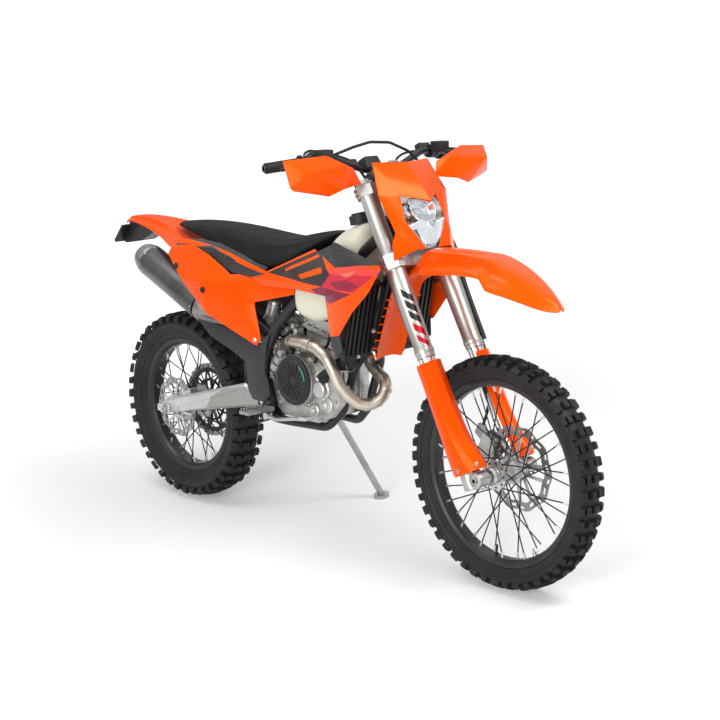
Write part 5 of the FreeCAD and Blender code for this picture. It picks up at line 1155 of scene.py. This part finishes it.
# Fuel tank: half sections along the bike
tankSections = [
    (706, [(0, 908), (60, 904), (108, 874), (122, 828), (122, 764), (84, 756), (76, 800), (0, 812)]),
    (752, [(0, 928), (62, 924), (124, 886), (142, 832), (142, 744), (84, 744), (76, 800), (0, 812)]),
    (820, [(0, 958), (60, 954), (118, 928), (141, 840), (137, 724), (84, 726), (76, 795), (0, 806)]),
    (852, [(0, 968), (58, 965), (112, 940), (136, 850), (130, 742), (84, 738), (76, 795), (0, 806)]),
    (858, [(0, 1020), (48, 1006), (110, 955), (136, 850), (130, 742), (84, 738), (76, 795), (0, 806)]),
    (925, [(0, 1044), (48, 1034), (98, 960), (128, 860), (118, 766), (84, 760), (60, 800), (0, 806)]),
    (992, [(0, 1050), (42, 1044), (72, 970), (88, 890), (78, 850), (60, 836), (34, 836), (0, 836)]),
]
tankColumns = 14
tankPoints = [(x, y, z) for x, half in tankSections for y, z in half + [(-y, z) for y, z in half[-2:0:-1]]]
tank = meshPiece("tankShell", "chassis", "tankPlastic", tankPoints, tubeFaces(len(tankSections), tankColumns))
crease(tank, tankColumns, 0.4, (), (3, 4))
addSubdivision(tank)
stand(bake(tank, 60), "chassis", "fuel_tank")

# Seat, station by station: low edge, top edge and crown
seatStations = [
    (-20, (34, 988.5), (30, 991), 992), (55, (62, 979), (60, 988), 997), (145, (86, 966), (80, 990), 1001),
    (287, (108, 943), (96, 986), 994), (462, (130, 906), (102, 972), 977), (560, (140, 882), (104, 964), 968),
    (629, (140, 888), (104, 966), 972), (709, (138, 915), (98, 974), 991), (790, (126, 960), (80, 996), 1004),
    (848, (62, 1000), (44, 1006), 1010),
]
seatFoam = {"voxel": 0.006, "pressure": 4.0, "frames": 20, "cap": 0.005, "heldSlope": -0.2,
            "heldHalf": 0.128, "heldAhead": 0.83}
seatColumns = 10


def makeSeat():
    points = []
    for x, low, top, crown in seatStations:
        middle = ((low[0] + top[0]) / 2 + 2, (low[1] + top[1]) / 2)
        inner = (top[0] * 0.55, top[1] + (crown - top[1]) * 0.8)
        half = [low, middle, top, inner]
        under = (0, low[1] - 2 if x < 0 else low[1] + 4)
        points += [(x, y, z) for y, z in half + [(0, crown)] + [(-y, z) for y, z in half[::-1]] + [under]]
    piece = meshPiece("seatPad", "chassis", "seatCover", points, tubeFaces(len(seatStations), seatColumns))
    crease(piece, seatColumns, 0.9, (0, 8))
    crease(piece, seatColumns, 0.35, (2, 6))
    addSubdivision(piece)
    bake(piece)
    puffSeat(piece)
    piece.data.shade_smooth()
    stand(piece, "chassis", "seat")


def puffSeat(piece):
    addModifier(piece, "REMESH", mode="VOXEL", voxel_size=seatFoam["voxel"])
    bake(piece)
    start = [v.co.copy() for v in piece.data.vertices]
    held = piece.vertex_groups.new(name="held")
    back = bikePlace.inverted()
    for v in piece.data.vertices:
        local = back @ v.co
        still = ((back.to_3x3() @ v.normal).z < seatFoam["heldSlope"]
                 or abs(local.y) > seatFoam["heldHalf"] or local.x > seatFoam["heldAhead"])
        held.add([v.index], 1.0 if still else 0.0, "REPLACE")
    cloth = addModifier(piece, "CLOTH")
    cloth.settings.use_pressure = True
    cloth.settings.uniform_pressure_force = seatFoam["pressure"]
    cloth.settings.vertex_group_mass = "held"
    cloth.settings.effector_weights.gravity = 0
    cloth.point_cache.frame_end = seatFoam["frames"]
    scene = bpy.context.scene
    for step in range(1, seatFoam["frames"] + 1):
        scene.frame_set(step)
    bake(piece)
    for v, first in zip(piece.data.vertices, start):
        move = v.co - first
        if move.length > seatFoam["cap"]:
            v.co = first + move.normalized() * seatFoam["cap"]
    scene.frame_set(1)
    addModifier(piece, "CORRECTIVE_SMOOTH", iterations=6, use_only_smooth=True)
    bake(piece)


def makeSeatSeams():
    seat = bpy.data.objects["seatPad"]
    runs = []
    for side in (-1, 1):
        run = []
        pairs = zip(seatStations[1:8], seatStations[2:9])
        for (x, _, top, _), (nextX, _, nextTop, _) in pairs:
            for share in (0, 0.2, 0.4, 0.6, 0.8):
                along = x + (nextX - x) * share
                y, z = (a + (b - a) * share for a, b in zip(top, nextTop))
                above = (along, side * (y + seamReach), z + seamReach)
                found, where, normal = surfaceSpot(seat, above, (along, side * y, z))
                if found:
                    run.append(where)
        runs.append(run)
    wires("seatSeams", "chassis", "gripRubber", 1.5, runs, 6, 1)


makeSeat()
makeSeatSeams()
print("tank and seat made")

# Floor, backdrop and lights; each glow is a start, an end, and the strength at either
floorSize, floorTints, ambient = 60.0, (0.79, 0.81), 0.38
floorGlow, skyGlow = (0.9, 3.4, 0.20, 0.85), (-0.05, 0.55, 0.30, 1.0)
lampTarget = Vector((0, 0, 0.5))
lamps = {"keyLamp": ((2.7, 0.7, 3.2), 1.6, 85), "fillLamp": ((1.5, -3.9, 2.1), 2.6, 105),
         "topLamp": ((-0.8, -0.8, 3.6), 2.0, 40)}
white = (1, 1, 1, 1)


def makeFloor():
    mesh = bpy.data.meshes.new("studioFloor")
    mesh.from_pydata([(x * floorSize, y * floorSize, 0) for x, y in ((-1, -1), (1, -1), (1, 1), (-1, 1))], [],
                     [(0, 1, 2, 3)])
    material = bpy.data.materials.new("studioFloor")
    material.use_nodes = True
    tree = material.node_tree
    speckle = noiseOf(tree, framed(tree, bikePlace), 400.0)
    path = addNode(tree, "ShaderNodeLightPath").outputs
    bounced = calc(tree, "MAXIMUM", path["Is Glossy Ray"], path["Is Transmission Ray"])
    seen = calc(tree, "MAXIMUM", path["Is Camera Ray"], bounced)
    away = addNode(tree, "ShaderNodeVectorMath", "Value", {"operation": "LENGTH"},
                   Vector=addNode(tree, "ShaderNodeTexCoord", "Object"))
    glow = rangeOf(tree, away, *floorGlow, interpolation_type="SMOOTHSTEP")
    given = {"Roughness": 0.9, "Base Color": blend(tree, speckle, *map(rgb, floorTints)),
             "Emission Color": white, "Emission Strength": calc(tree, "MULTIPLY", seen, glow)}
    for label, value in given.items():
        fill(tree, tree.nodes["Principled BSDF"].inputs[label], value)
    mesh.materials.append(material)
    addObject("studioFloor", mesh)


def makeWorld():
    world = bpy.data.worlds.new("studioWorld")
    world.use_nodes = True
    bpy.context.scene.world = world
    tree = world.node_tree
    path = addNode(tree, "ShaderNodeLightPath").outputs
    seen = calc(tree, "MAXIMUM", path["Is Camera Ray"], path["Is Transmission Ray"])
    height = addNode(tree, "ShaderNodeSeparateXYZ", "Z",
                     Vector=addNode(tree, "ShaderNodeTexCoord", "Generated"))
    sky = rangeOf(tree, height, *skyGlow, interpolation_type="SMOOTHSTEP")
    mirrored = calc(tree, "MULTIPLY", path["Is Glossy Ray"], sky)
    strength = calc(tree, "MAXIMUM", calc(tree, "MAXIMUM", seen, mirrored), ambient)
    background = tree.nodes["Background"]
    fill(tree, background.inputs["Color"], white)
    fill(tree, background.inputs["Strength"], strength)


def makeLamps():
    for name, (place, size, power) in lamps.items():
        data = bpy.data.lights.new(name, "AREA")
        data.shape = "DISK"
        data.size = size
        data.energy = power
        lamp = addObject(name, data)
        lamp.location = place
        lamp.rotation_euler = (lampTarget - lamp.location).to_track_quat("-Z", "Y").to_euler()


makeFloor()
makeWorld()
makeLamps()
bpy.context.scene.view_settings.view_transform = "Standard"
print("studio made")
